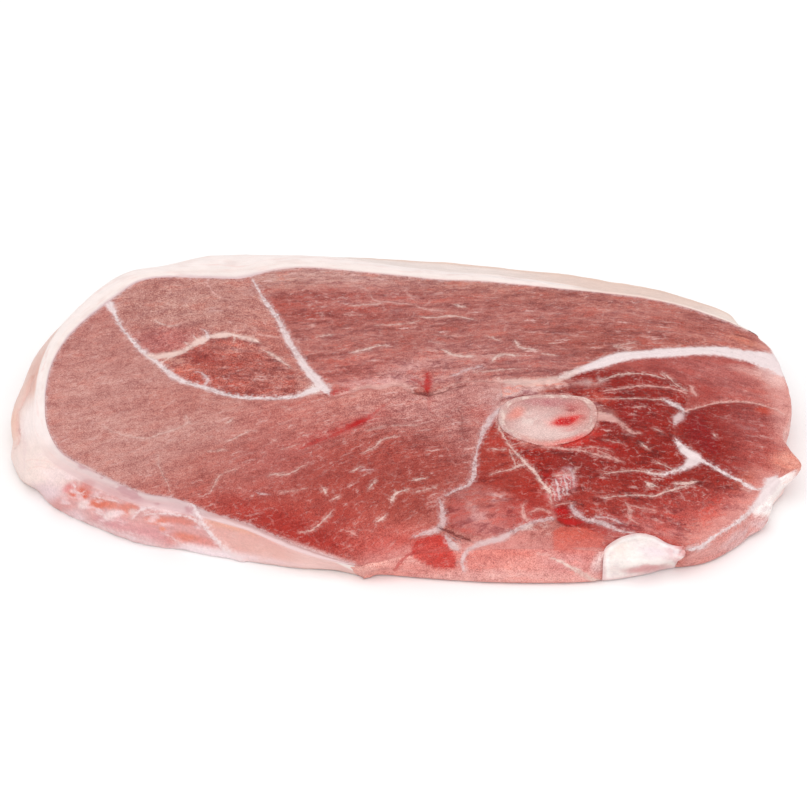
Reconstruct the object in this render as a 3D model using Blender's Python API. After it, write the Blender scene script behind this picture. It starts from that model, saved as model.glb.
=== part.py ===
"""Raw pork leg steak: one thick slice sawn across a leg of pork, lying flat.

The slice carries its femur section off centre, the lean around it, and the
skin-side fat that wraps the left end and the far side.  Metres, +Z up.  The
origin is the middle of the footprint, on the surface the slice lies on.
+X is the long way of the slice and +Y is the skin side.
"""
import math

import bpy
import numpy as np

MM = 0.001

# ---- driving sizes, in millimetres --------------------------------------
FACE = 14.5          # thickness of the slice at its thick left half
THIN_RIGHT = 1.2     # how much thinner the right end is
THIN_FRONT = 3.3     # how much thinner the front edge is, right of the middle
DROOP = 6.5          # how far the front edge hangs where the lean is thinnest
DROOP_X = -15.0      # where along X that is
DROOP_SPAN = 22.0    # half width of the drooping stretch
GAP = 0.3            # clearance between touching pieces
EDGE = 1.1           # rounding of the sawn edge
BONE_PROUD = 0.4     # the sawn bone stands a little above the lean
BONE_WALL = 2.1      # thickness of the hard ring of the femur

LEAN_SIDES = 156     # columns around the lean
CAP_SIDES = 116      # ribs along the fat
BONE_SIDES = 40

# Ribs of the fat, from its right tip round the far side and the left end to
# the front tip: x and y of the line where lean meets fat, width of the sawn
# fat face, how far the skin swells out past that face, height of the swell,
# and how far the whole edge runs in under itself at the table.
FAT_RIBS = [
    (106.3, 31.6, 0.7, 1.4, 9.5, 0.0),
    (99.8, 37.0, 0.9, 5.2, 10.5, 0.0),
    (87.0, 44.4, 0.9, 7.0, 11.0, 0.0),
    (74.6, 48.6, 1.1, 8.1, 11.3, 0.0),
    (62.3, 51.0, 1.4, 8.9, 11.5, 0.0),
    (50.0, 53.2, 3.0, 8.5, 11.6, 0.0),
    (37.5, 55.7, 3.8, 7.4, 11.6, 0.0),
    (25.0, 58.0, 4.2, 7.0, 11.6, 0.0),
    (12.5, 58.8, 5.3, 7.4, 11.6, 0.0),
    (0.0, 60.9, 5.5, 6.6, 11.6, 0.0),
    (-13.0, 62.8, 6.5, 5.0, 11.4, 0.0),
    (-28.5, 64.8, 7.2, 3.0, 11.0, 0.0),
    (-39.5, 63.2, 9.3, 2.4, 10.5, 0.0),
    (-50.0, 58.6, 13.8, 2.0, 10.0, 0.0),
    (-61.7, 59.0, 12.4, 1.8, 10.0, 0.0),
    (-74.0, 59.7, 7.0, 1.7, 10.0, 0.0),
    (-82.0, 57.5, 6.8, 1.8, 9.5, 0.0),
    (-87.8, 50.2, 7.2, 2.0, 9.0, 0.0),
    (-94.1, 40.3, 6.1, 2.2, 8.5, 0.0),
    (-98.6, 32.0, 5.2, 3.6, 8.0, 0.0),
    (-102.2, 22.2, 4.2, 5.4, 7.0, 0.0),
    (-104.4, 10.0, 3.4, 5.9, 6.5, 0.0),
    (-104.4, -5.0, 3.0, 7.7, 6.4, 0.0),
    (-102.4, -19.0, 3.4, 6.0, 6.2, 0.0),
    (-97.6, -30.4, 4.2, 3.6, 5.8, 0.0),
    (-91.0, -37.0, 4.8, 3.2, 4.8, 0.0),
    (-82.5, -43.6, 4.8, 2.3, 4.4, 0.0),
    (-72.0, -50.6, 4.6, 1.4, 4.0, 0.0),
    (-62.0, -53.6, 4.7, 1.0, 4.0, 0.0),
    (-52.5, -59.4, 2.6, 0.4, 4.0, -0.9),
    (-42.0, -63.2, 1.9, 0.0, 3.8, -1.5),
    (-31.0, -67.0, 1.8, -0.4, 3.6, -2.2),
    (-20.5, -69.2, 1.6, -0.5, 3.2, -3.0),
    (-12.5, -72.2, 0.9, -0.5, 3.0, -3.6),
]

# The bare edge of the lean, from the front tip of the fat along the front and
# the right end back to the right tip: x, y, swell of the wall (+ out, - under).
LEAN_RIBS = [
    (-6.0, -73.1, -3.0),
    (1.0, -72.1, -1.3),
    (12.0, -72.5, -0.2),
    (27.5, -72.6, 1.0),
    (44.0, -72.5, 1.3),
    (53.0, -73.2, 0.0),
    (61.0, -74.4, -2.0),
    (69.0, -74.2, -3.2),
    (77.5, -71.8, -3.2),
    (86.4, -65.9, -0.6),
    (94.0, -59.3, -0.2),
    (100.0, -51.9, 0.0),
    (105.6, -44.2, -1.3),
    (110.8, -39.8, -3.6),
    (115.2, -35.2, -4.4),
    (113.2, -29.0, -1.2),
    (111.5, -22.0, -0.4),
    (114.2, -14.0, -0.6),
    (115.6, -6.5, -0.8),
    (115.5, 3.0, -0.8),
    (114.5, 14.0, -0.8),
    (112.0, 24.0, -0.6),
]

# Where the pad of fat is set into the front right edge: its back line, from
# left to right.  In front it follows the edge of the slice.
PAD_BACK = [
    (54.2, -73.0), (56.0, -69.6), (60.6, -65.9), (66.0, -64.4),
    (70.6, -65.6), (74.4, -68.6), (80.0, -70.4),
]
PAD_REACH = 8.0      # how far its cutter runs out past the edge

# Femur section: half length, half width, centre and tilt of the oval.
BONE_A, BONE_B = 14.5, 12.7
BONE_X, BONE_Y = 43.0, -16.2
BONE_TILT = math.radians(-7.0)


# ---- curves and heights ---------------------------------------------------
def ease(a, b, v):
    t = np.clip((np.asarray(v, float) - a) / (b - a), 0.0, 1.0)
    return t * t * (3.0 - 2.0 * t)


def face_height(x, y):
    """Height of the upper sawn face above the table."""
    x = np.asarray(x, float)
    y = np.asarray(y, float)
    h = FACE - THIN_RIGHT * ease(40, 116, x)
    h = h - THIN_FRONT * ease(-59, 31, x) * ease(18, 73, -y)
    h = h - DROOP * np.exp(-((x - DROOP_X) / DROOP_SPAN) ** 2) * ease(44, 70, -y)
    # the muscles round up very slightly between their seams
    h = h + 0.35 * np.sin(0.052 * x + 0.6) * np.sin(0.061 * y + 1.1)
    return h


def spline(stations, closed, per_span=24):
    """Catmull-Rom curve through rows of any width, resampled evenly in XY."""
    p = np.array(stations, float)
    n = len(p)
    rows = []
    spans = n if closed else n - 1
    for i in range(spans):
        if closed:
            a, b, c, d = p[(i - 1) % n], p[i], p[(i + 1) % n], p[(i + 2) % n]
        else:
            a = p[max(i - 1, 0)]
            b, c = p[i], p[i + 1]
            d = p[min(i + 2, n - 1)]
        for k in range(per_span):
            t = k / per_span
            rows.append(0.5 * ((2 * b) + (c - a) * t
                               + (2 * a - 5 * b + 4 * c - d) * t * t
                               + (3 * b - a - 3 * c + d) * t ** 3))
    if not closed:
        rows.append(p[-1])
    return np.array(rows)


def resample(rows, count, closed):
    q = np.vstack([rows, rows[:1]]) if closed else rows
    step = np.hypot(*(np.diff(q[:, :2], axis=0)).T)
    s = np.concatenate([[0.0], np.cumsum(step)])
    at = np.linspace(0.0, s[-1], count + 1)[:-1] if closed \
        else np.linspace(0.0, s[-1], count)
    return np.column_stack([np.interp(at, s, q[:, k]) for k in range(q.shape[1])])


def outward(xy, closed):
    """Unit normals to the right of travel turned outward (loops run
    anticlockwise, so outward is to the right)."""
    if closed:
        t = np.roll(xy, -1, axis=0) - np.roll(xy, 1, axis=0)
    else:
        t = np.gradient(xy, axis=0)
    t = t / np.maximum(np.hypot(t[:, 0], t[:, 1]), 1e-9)[:, None]
    return np.column_stack([t[:, 1], -t[:, 0]])


def lean_outline():
    """Closed outline of the lean: x, y, swell, share covered by fat, run-in."""
    fat = [(r[0], r[1], 0.0, 1.0, r[5]) for r in FAT_RIBS]
    bare = [(r[0], r[1], r[2], 0.0, 0.0) for r in LEAN_RIBS]
    return resample(spline(fat + bare, True), LEAN_SIDES, True)


def oval(cx, cy, a, b, tilt, angles):
    """Squarish oval of the femur: point at each direction from its centre."""
    out = []
    for ang in angles:
        u = ang - tilt
        c, s = math.cos(u), math.sin(u)
        n = 2.35
        r = (abs(c / a) ** n + abs(s / b) ** n) ** (-1.0 / n)
        out.append((cx + r * math.cos(ang), cy + r * math.sin(ang)))
    return np.array(out)


# ---- meshes ----------------------------------------------------------------
def quads(a, b, n, closed=True):
    """Faces between vertex rows starting at a and b, n columns."""
    out = []
    last = n if closed else n - 1
    for i in range(last):
        j = (i + 1) % n
        out.append((a + i, a + j, b + j, b + i))
    return out


def stack(rows, ring_ends=False):
    """Closed body from rows of equal length: capped, or joined end to end."""
    n = len(rows[0])
    faces = [] if ring_ends else [tuple(range(n))[::-1]]
    for k in range(len(rows) - 1):
        faces += quads(k * n, (k + 1) * n, n)
    if ring_ends:
        faces += quads((len(rows) - 1) * n, 0, n)
    else:
        faces.append(tuple((len(rows) - 1) * n + j for j in range(n)))
    return np.vstack(rows), faces


def slice_body():
    """The lean together with the place of the pad, with the femur's hole."""
    o = lean_outline()
    n = len(o)
    xy, swell, cover, run_in = o[:, :2], o[:, 2], o[:, 3], o[:, 4]
    nrm = outward(xy, True)
    cover = (cover > 0.5).astype(float)
    xy = xy - nrm * (GAP / 2)
    free = (1.0 - cover)[:, None]
    top = face_height(xy[:, 0], xy[:, 1])
    ang = np.arctan2(xy[:, 1] - BONE_Y, xy[:, 0] - BONE_X)
    hole = oval(BONE_X, BONE_Y, BONE_A + GAP, BONE_B + GAP, BONE_TILT, ang)
    rows = [np.column_stack([hole, np.zeros(n)])]
    # the wall from the table up: height share, offset for a bare edge
    wall = [
        (0.0, lambda f: f - 1.3),
        (0.07, lambda f: f - 0.35),
        (0.28, lambda f: f),
        (0.60, lambda f: 0.45 * f + 0.35),
        (0.88, lambda f: 0.05 * f - 0.05),
    ]
    for share, off in wall:
        d = off(swell)[:, None] * free + (run_in * (1 - share))[:, None] * (1 - free)
        rows.append(np.column_stack([xy + nrm * d, top * share]))
    rim = xy - nrm * (EDGE * free) - nrm * (0.25 * (1 - free))
    for share in (0.0, 0.07, 0.2, 0.38, 0.58, 0.78, 0.92, 1.0):
        p = rim + (hole - rim) * share
        rows.append(np.column_stack([p, face_height(p[:, 0], p[:, 1])]))
    return stack(rows, ring_ends=True)


def pad_cutter(grow):
    """Upright prism over the pad, grown or shrunk by the clearance."""
    back = resample(spline(PAD_BACK, False), 26, False)
    nrm = outward(back, False)               # travel is rightward: this is front
    back = back[:, :2] - nrm * grow
    first, last = back[0], back[-1]
    front = np.array([(last[0] + 1.2, last[1] - PAD_REACH),
                      (first[0] - 0.8, first[1] - PAD_REACH)])
    loop = np.vstack([back, front])[::-1]
    n = len(loop)
    return stack([np.column_stack([loop, np.full(n, z)]) for z in (-3.0, FACE + 4.0)])


def fat_section(w, f, zb, h, run_in):
    """Section of the fat: offset out from the lean and height, from the top
    inner corner over the face and down the skin to the table and back."""
    full = w + max(f, 0.0)
    foot = max(w + f - min(1.4, 0.35 * w), 0.35)
    pts = [
        (0.0, h),
        (0.5 * w, h + 0.15),
        (w, h - 0.35),
        (w + 0.45 * f, h - 0.35 - 0.32 * (h - zb)),
        (w + 0.85 * f, zb + 0.35 * (h - zb)),
        (full if f > 0 else w + f * 0.8, zb),
        (0.5 * (full + foot) if f > 0 else w + f, 0.42 * zb),
        (foot, 0.0),
        (0.0, 0.0),
    ]
    return [(d + run_in * (1 - z / h), z) for d, z in pts]


def fat_body():
    o = resample(spline(FAT_RIBS, False), CAP_SIDES, False)
    n = len(o)
    nrm = outward(o[:, :2], False)
    # even out the direction of the ribs so that they never cross
    for _ in range(14):
        m = nrm.copy()
        m[1:-1] = (nrm[:-2] + 2 * nrm[1:-1] + nrm[2:]) / 4
        nrm = m / np.hypot(m[:, 0], m[:, 1])[:, None]
    base = o[:, :2] + nrm * (GAP / 2)
    rows = []
    for i in range(n):
        h = float(face_height(base[i, 0], base[i, 1]))
        end = min(1.0, 0.35 + 0.65 * min(i, n - 1 - i) / 3.0)
        sec = fat_section(max(o[i, 2], 0.5) * end, o[i, 3] * end,
                          min(o[i, 4], h - 0.8), h, o[i, 5])
        rows.append(np.array([(base[i, 0] + nrm[i, 0] * d, base[i, 1] + nrm[i, 1] * d, z)
                              for d, z in sec]))
    return stack(rows)


def bone_ring_rows(d, z_off=None, level=None):
    ang = [2 * math.pi * i / BONE_SIDES for i in range(BONE_SIDES)]
    p = oval(BONE_X, BONE_Y, BONE_A + d, BONE_B + d, BONE_TILT, ang)
    z = np.full(BONE_SIDES, level) if level is not None \
        else face_height(p[:, 0], p[:, 1]) + z_off
    return np.column_stack([p, z])


def bone_body():
    rows = [bone_ring_rows(0, level=0.0), bone_ring_rows(0, level=6.0),
            bone_ring_rows(0, 0.0), bone_ring_rows(-0.35, BONE_PROUD),
            bone_ring_rows(-BONE_WALL, BONE_PROUD),
            bone_ring_rows(-BONE_WALL, level=6.0), bone_ring_rows(-BONE_WALL, level=0.0)]
    return stack(rows, ring_ends=True)


def marrow_body():
    d = -BONE_WALL - GAP
    rows = [bone_ring_rows(d, level=0.0), bone_ring_rows(d, level=6.0),
            bone_ring_rows(d, BONE_PROUD - 0.1)]
    ang = [2 * math.pi * i / BONE_SIDES for i in range(BONE_SIDES)]
    for share in (0.6, 0.25):
        p = oval(BONE_X, BONE_Y, (BONE_A + d) * share, (BONE_B + d) * share, BONE_TILT, ang)
        rows.append(np.column_stack([p, face_height(p[:, 0], p[:, 1]) + BONE_PROUD - 0.35]))
    return stack(rows)


def add(name, body, centre, colour, rough, guide=False):
    verts, faces = body
    v = (verts - np.array([centre[0], centre[1], 0.0])) * MM
    mesh = bpy.data.meshes.new(name)
    mesh.from_pydata([tuple(map(float, p)) for p in v], [], faces)
    mesh.validate()
    obj = bpy.data.objects.new(name, mesh)
    bpy.context.scene.collection.objects.link(obj)
    if guide:
        obj.hide_render = True
        obj.display_type = "WIRE"
        return obj
    mat = bpy.data.materials.new(name)
    mat.use_nodes = True
    bsdf = mat.node_tree.nodes["Principled BSDF"]
    bsdf.inputs["Base Color"].default_value = (*colour, 1.0)
    bsdf.inputs["Roughness"].default_value = rough
    bsdf.inputs["Metallic"].default_value = 0.0
    mesh.materials.append(mat)
    mesh.shade_smooth()
    mesh.set_sharp_from_angle(angle=math.radians(40))
    return obj


def cut(obj, cutter, operation):
    mod = obj.modifiers.new("cut", "BOOLEAN")
    mod.operation = operation
    mod.solver = "EXACT"
    mod.object = cutter


def main():
    for obj in list(bpy.data.objects):
        bpy.data.objects.remove(obj, do_unlink=True)
    whole = slice_body()
    fat = fat_body()
    both = np.vstack([whole[0], fat[0]])
    centre = (both.min(axis=0) + both.max(axis=0))[:2] / 2
    print("footprint centre moved by %.3f %.3f mm" % (centre[0], centre[1]))

    lean = add("lean", whole, centre, (0.42, 0.105, 0.09), 0.42)
    pad = add("fat_pad", whole, centre, (0.88, 0.80, 0.76), 0.35)
    add("fat_cap", fat, centre, (0.86, 0.72, 0.66), 0.38)
    add("bone", bone_body(), centre, (0.74, 0.66, 0.58), 0.35)
    add("marrow", marrow_body(), centre, (0.80, 0.58, 0.50), 0.45)
    notch = add("notch_cutter", pad_cutter(GAP / 2), centre, (0, 0, 0), 1, guide=True)
    trim = add("pad_cutter", pad_cutter(-GAP / 2), centre, (0, 0, 0), 1, guide=True)
    cut(lean, notch, "DIFFERENCE")
    cut(pad, trim, "INTERSECT")


main()
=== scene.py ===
"""Looks of the raw pork leg steak: the sawn face with its muscles, seams and
femur, the fat and skin round its far side and left end, the bare front edge.

Shapes are worked out in millimetres in the same raw frame as the solids, then
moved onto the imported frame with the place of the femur.
"""

import math

import bpy
import numpy as np
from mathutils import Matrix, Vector
from mathutils.geometry import delaunay_2d_cdt


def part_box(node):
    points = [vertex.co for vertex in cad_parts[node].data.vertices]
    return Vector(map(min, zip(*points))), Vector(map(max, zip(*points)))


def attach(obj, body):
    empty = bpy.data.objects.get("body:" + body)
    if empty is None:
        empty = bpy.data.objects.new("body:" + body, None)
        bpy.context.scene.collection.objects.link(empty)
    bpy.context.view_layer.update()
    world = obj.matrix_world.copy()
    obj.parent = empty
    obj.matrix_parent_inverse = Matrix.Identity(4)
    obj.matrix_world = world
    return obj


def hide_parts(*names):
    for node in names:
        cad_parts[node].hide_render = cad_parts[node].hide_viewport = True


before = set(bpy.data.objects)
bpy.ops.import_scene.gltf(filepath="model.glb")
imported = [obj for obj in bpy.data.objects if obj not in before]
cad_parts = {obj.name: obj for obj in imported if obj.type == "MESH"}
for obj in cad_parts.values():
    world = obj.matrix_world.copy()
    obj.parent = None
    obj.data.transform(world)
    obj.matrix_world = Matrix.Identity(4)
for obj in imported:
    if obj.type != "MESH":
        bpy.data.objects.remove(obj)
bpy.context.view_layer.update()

MM = 0.001

# ---------------------------------------------------------------------------
# the solid's own sizes and curves, millimetres
# ---------------------------------------------------------------------------
FACE = 14.5
THIN_RIGHT = 1.2
THIN_FRONT = 3.3
DROOP = 6.5
DROOP_X = -15.0
DROOP_SPAN = 22.0
GAP = 0.3
EDGE = 1.1
BONE_PROUD = 0.4
BONE_WALL = 2.1
LEAN_SIDES = 156
CAP_SIDES = 116

FAT_RIBS = [
    (106.3, 31.6, 0.7, 1.4, 9.5, 0.0),
    (99.8, 37.0, 0.9, 5.2, 10.5, 0.0),
    (87.0, 44.4, 0.9, 7.0, 11.0, 0.0),
    (74.6, 48.6, 1.1, 8.1, 11.3, 0.0),
    (62.3, 51.0, 1.4, 8.9, 11.5, 0.0),
    (50.0, 53.2, 3.0, 8.5, 11.6, 0.0),
    (37.5, 55.7, 3.8, 7.4, 11.6, 0.0),
    (25.0, 58.0, 4.2, 7.0, 11.6, 0.0),
    (12.5, 58.8, 5.3, 7.4, 11.6, 0.0),
    (0.0, 60.9, 5.5, 6.6, 11.6, 0.0),
    (-13.0, 62.8, 6.5, 5.0, 11.4, 0.0),
    (-28.5, 64.8, 7.2, 3.0, 11.0, 0.0),
    (-39.5, 63.2, 9.3, 2.4, 10.5, 0.0),
    (-50.0, 58.6, 13.8, 2.0, 10.0, 0.0),
    (-61.7, 59.0, 12.4, 1.8, 10.0, 0.0),
    (-74.0, 59.7, 7.0, 1.7, 10.0, 0.0),
    (-82.0, 57.5, 6.8, 1.8, 9.5, 0.0),
    (-87.8, 50.2, 7.2, 2.0, 9.0, 0.0),
    (-94.1, 40.3, 6.1, 2.2, 8.5, 0.0),
    (-98.6, 32.0, 5.2, 3.6, 8.0, 0.0),
    (-102.2, 22.2, 4.2, 5.4, 7.0, 0.0),
    (-104.4, 10.0, 3.4, 5.9, 6.5, 0.0),
    (-104.4, -5.0, 3.0, 7.7, 6.4, 0.0),
    (-102.4, -19.0, 3.4, 6.0, 6.2, 0.0),
    (-97.6, -30.4, 4.2, 3.6, 5.8, 0.0),
    (-91.0, -37.0, 4.8, 3.2, 4.8, 0.0),
    (-82.5, -43.6, 4.8, 2.3, 4.4, 0.0),
    (-72.0, -50.6, 4.6, 1.4, 4.0, 0.0),
    (-62.0, -53.6, 4.7, 1.0, 4.0, 0.0),
    (-52.5, -59.4, 2.6, 0.4, 4.0, -0.9),
    (-42.0, -63.2, 1.9, 0.0, 3.8, -1.5),
    (-31.0, -67.0, 1.8, -0.4, 3.6, -2.2),
    (-20.5, -69.2, 1.6, -0.5, 3.2, -3.0),
    (-12.5, -72.2, 0.9, -0.5, 3.0, -3.6),
]
LEAN_RIBS = [
    (-6.0, -73.1, -3.0), (1.0, -72.1, -1.3), (12.0, -72.5, -0.2),
    (27.5, -72.6, 1.0), (44.0, -72.5, 1.3), (53.0, -73.2, 0.0),
    (61.0, -74.4, -2.4), (69.0, -74.2, -4.2), (77.5, -71.8, -4.8),
    (86.4, -65.9, -1.2), (94.0, -59.3, -0.2), (100.0, -51.9, 0.0),
    (105.6, -44.2, -1.3), (110.8, -39.8, -3.6), (115.2, -35.2, -4.4),
    (113.2, -29.0, -1.2), (111.5, -22.0, -0.4), (114.2, -14.0, -0.6),
    (115.6, -6.5, -0.8), (115.5, 3.0, -0.8), (114.5, 14.0, -0.8),
    (112.0, 24.0, -0.6),
]
PAD_BACK = [
    (55.5, -73.3), (56.9, -70.0), (61.0, -66.2), (66.0, -64.4),
    (70.6, -65.6), (74.4, -68.6), (80.0, -70.4),
]
BONE_A, BONE_B = 14.5, 12.7
BONE_X, BONE_Y = 43.0, -16.2
BONE_TILT = math.radians(-7.0)


def ease(a, b, v):
    t = np.clip((np.asarray(v, float) - a) / (b - a), 0.0, 1.0)
    return t * t * (3.0 - 2.0 * t)


def face_height(x, y):
    x = np.asarray(x, float)
    y = np.asarray(y, float)
    h = FACE - THIN_RIGHT * ease(40, 116, x)
    h = h - THIN_FRONT * ease(-59, 31, x) * ease(18, 73, -y)
    h = h - DROOP * np.exp(-((x - DROOP_X) / DROOP_SPAN) ** 2) * ease(44, 70, -y)
    return h + 0.35 * np.sin(0.052 * x + 0.6) * np.sin(0.061 * y + 1.1)


def spline(stations, closed, per_span=24):
    p = np.array(stations, float)
    n = len(p)
    rows = []
    for i in range(n if closed else n - 1):
        if closed:
            a, b, c, d = p[(i - 1) % n], p[i], p[(i + 1) % n], p[(i + 2) % n]
        else:
            a, b, c, d = p[max(i - 1, 0)], p[i], p[i + 1], p[min(i + 2, n - 1)]
        t = (np.arange(per_span) / per_span)[:, None]
        rows.append(0.5 * ((2 * b) + (c - a) * t + (2 * a - 5 * b + 4 * c - d) * t * t
                           + (3 * b - a - 3 * c + d) * t ** 3))
    rows = np.vstack(rows)
    return rows if closed else np.vstack([rows, p[-1:]])


def resample(rows, count, closed):
    q = np.vstack([rows, rows[:1]]) if closed else rows
    step = np.hypot(*(np.diff(q[:, :2], axis=0)).T)
    s = np.concatenate([[0.0], np.cumsum(step)])
    at = np.linspace(0.0, s[-1], count + 1)[:-1] if closed else np.linspace(0.0, s[-1], count)
    return np.column_stack([np.interp(at, s, q[:, k]) for k in range(q.shape[1])])


def outward(xy, closed):
    t = np.roll(xy, -1, axis=0) - np.roll(xy, 1, axis=0) if closed else np.gradient(xy, axis=0)
    t = t / np.maximum(np.hypot(t[:, 0], t[:, 1]), 1e-9)[:, None]
    return np.column_stack([t[:, 1], -t[:, 0]])


# the femur isn't a true oval: offsets of its edge, by angle
FEMUR_DEG = (-178, -164, -147, -122, -105, -89, -77, -60, -43, -20, -3, 16, 30, 44, 58, 80, 105, 122, 137, 155)
FEMUR_OFF = (0.0, -0.5, -1.3, -1.5, -0.7, -0.5, -1.5, -2.1, -2.0, -1.0, -0.4, 0.5, 1.9, 2.6, 0.9, -0.3, -0.9, -0.6, -0.2, 0.2)


def femur(a, b, angles):
    """The femur's outline: square at the upper right, drawn in underneath."""
    p = oval(BONE_X, BONE_Y, a, b, BONE_TILT, angles)
    deg = np.degrees(np.asarray(angles, float))
    off = sum(np.interp(deg + s, FEMUR_DEG, FEMUR_OFF, period=360) for s in (-7, -3.5, 0, 3.5, 7)) / 5
    k = (1 + off / BONE_A)[:, None]
    return np.array([BONE_X, BONE_Y]) + (p - np.array([BONE_X, BONE_Y])) * k


def oval(cx, cy, a, b, tilt, angles):
    u = np.asarray(angles, float) - tilt
    n = 2.35
    r = (np.abs(np.cos(u) / a) ** n + np.abs(np.sin(u) / b) ** n) ** (-1.0 / n)
    return np.column_stack([cx + r * np.cos(angles), cy + r * np.sin(angles)])


# the raw frame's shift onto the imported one, read off the femur
_ang = np.linspace(0, 2 * math.pi, 41)[:-1]
_ring = oval(BONE_X, BONE_Y, BONE_A, BONE_B, BONE_TILT, _ang)
_lo, _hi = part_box("bone")
SHIFT = (_ring.min(axis=0) + _ring.max(axis=0)) / 2 \
    - np.array([(_lo[0] + _hi[0]) / 2, (_lo[1] + _hi[1]) / 2]) / MM


# ---------------------------------------------------------------------------
# noise and fields on the raw plane
# ---------------------------------------------------------------------------
def hashed(ix, iy, seed):
    v = (ix.astype(np.int64) * 374761393 + iy.astype(np.int64) * 668265263
         + seed * 974634777) & 0xFFFFFFFF
    v = ((v ^ (v >> 13)) * 1274126177) & 0xFFFFFFFF
    v = (v ^ (v >> 16)) & 0xFFFFFFFF
    return v / 4294967295.0 * 2.0 - 1.0


def vnoise(x, y, seed=0):
    x = np.asarray(x, float)
    y = np.asarray(y, float)
    ix, iy = np.floor(x), np.floor(y)
    fx, fy = x - ix, y - iy
    ux, uy = fx * fx * (3 - 2 * fx), fy * fy * (3 - 2 * fy)
    a = hashed(ix, iy, seed)
    b = hashed(ix + 1, iy, seed)
    c = hashed(ix, iy + 1, seed)
    d = hashed(ix + 1, iy + 1, seed)
    return (a + (b - a) * ux) * (1 - uy) + (c + (d - c) * ux) * uy


def fbm(x, y, size, seed=0, octaves=3):
    out, amp, tot = 0.0, 1.0, 0.0
    for k in range(octaves):
        c, s = math.cos(0.7 * k + 0.3), math.sin(0.7 * k + 0.3)
        out = out + amp * vnoise((c * x - s * y) / size, (s * x + c * y) / size, seed + 17 * k)
        tot += amp
        amp *= 0.5
        size *= 0.5
    return out / tot


def srgb(c):
    c = np.asarray(c, float) / 255.0
    return np.where(c <= 0.04045, c / 12.92, ((c + 0.055) / 1.055) ** 2.4)


def blob(x, y, cx, cy, rx, ry, turn=0.0, soft=0.5):
    """1 inside an ellipse, fading to 0 outside it."""
    c, s = math.cos(math.radians(turn)), math.sin(math.radians(turn))
    u = ((x - cx) * c + (y - cy) * s) / rx
    v = (-(x - cx) * s + (y - cy) * c) / ry
    return ease(1 + soft, 1 - soft, np.hypot(u, v))


def inside(x, y, poly):
    """Signed distance to a closed polygon, positive inside, millimetres."""
    p = np.asarray(poly, float)
    q = np.roll(p, -1, axis=0)
    best = np.full(len(x), 1e9)
    odd = np.zeros(len(x), bool)
    for a, b in zip(p, q):
        ab = b - a
        t = np.clip(((x - a[0]) * ab[0] + (y - a[1]) * ab[1]) / max(ab @ ab, 1e-12), 0, 1)
        best = np.minimum(best, np.hypot(x - a[0] - t * ab[0], y - a[1] - t * ab[1]))
        if a[1] != b[1]:
            hit = ((a[1] > y) != (b[1] > y)) & (x < (b[0] - a[0]) * (y - a[1]) / (b[1] - a[1]) + a[0])
            odd ^= hit
    return np.where(odd, best, -best)


# ---------------------------------------------------------------------------
# the seams and flecks of fat on the sawn face, raw millimetres
# name: (stations, full widths along it, colour, strength, group, groove)
# ---------------------------------------------------------------------------
WHITE, CREAM, PINK, LILAC, RED, DARK = range(6)
INKS = [(235, 217, 217), (231, 200, 191), (224, 174, 166), (222, 196, 196), (186, 44, 44), (106, 36, 38)]

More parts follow.
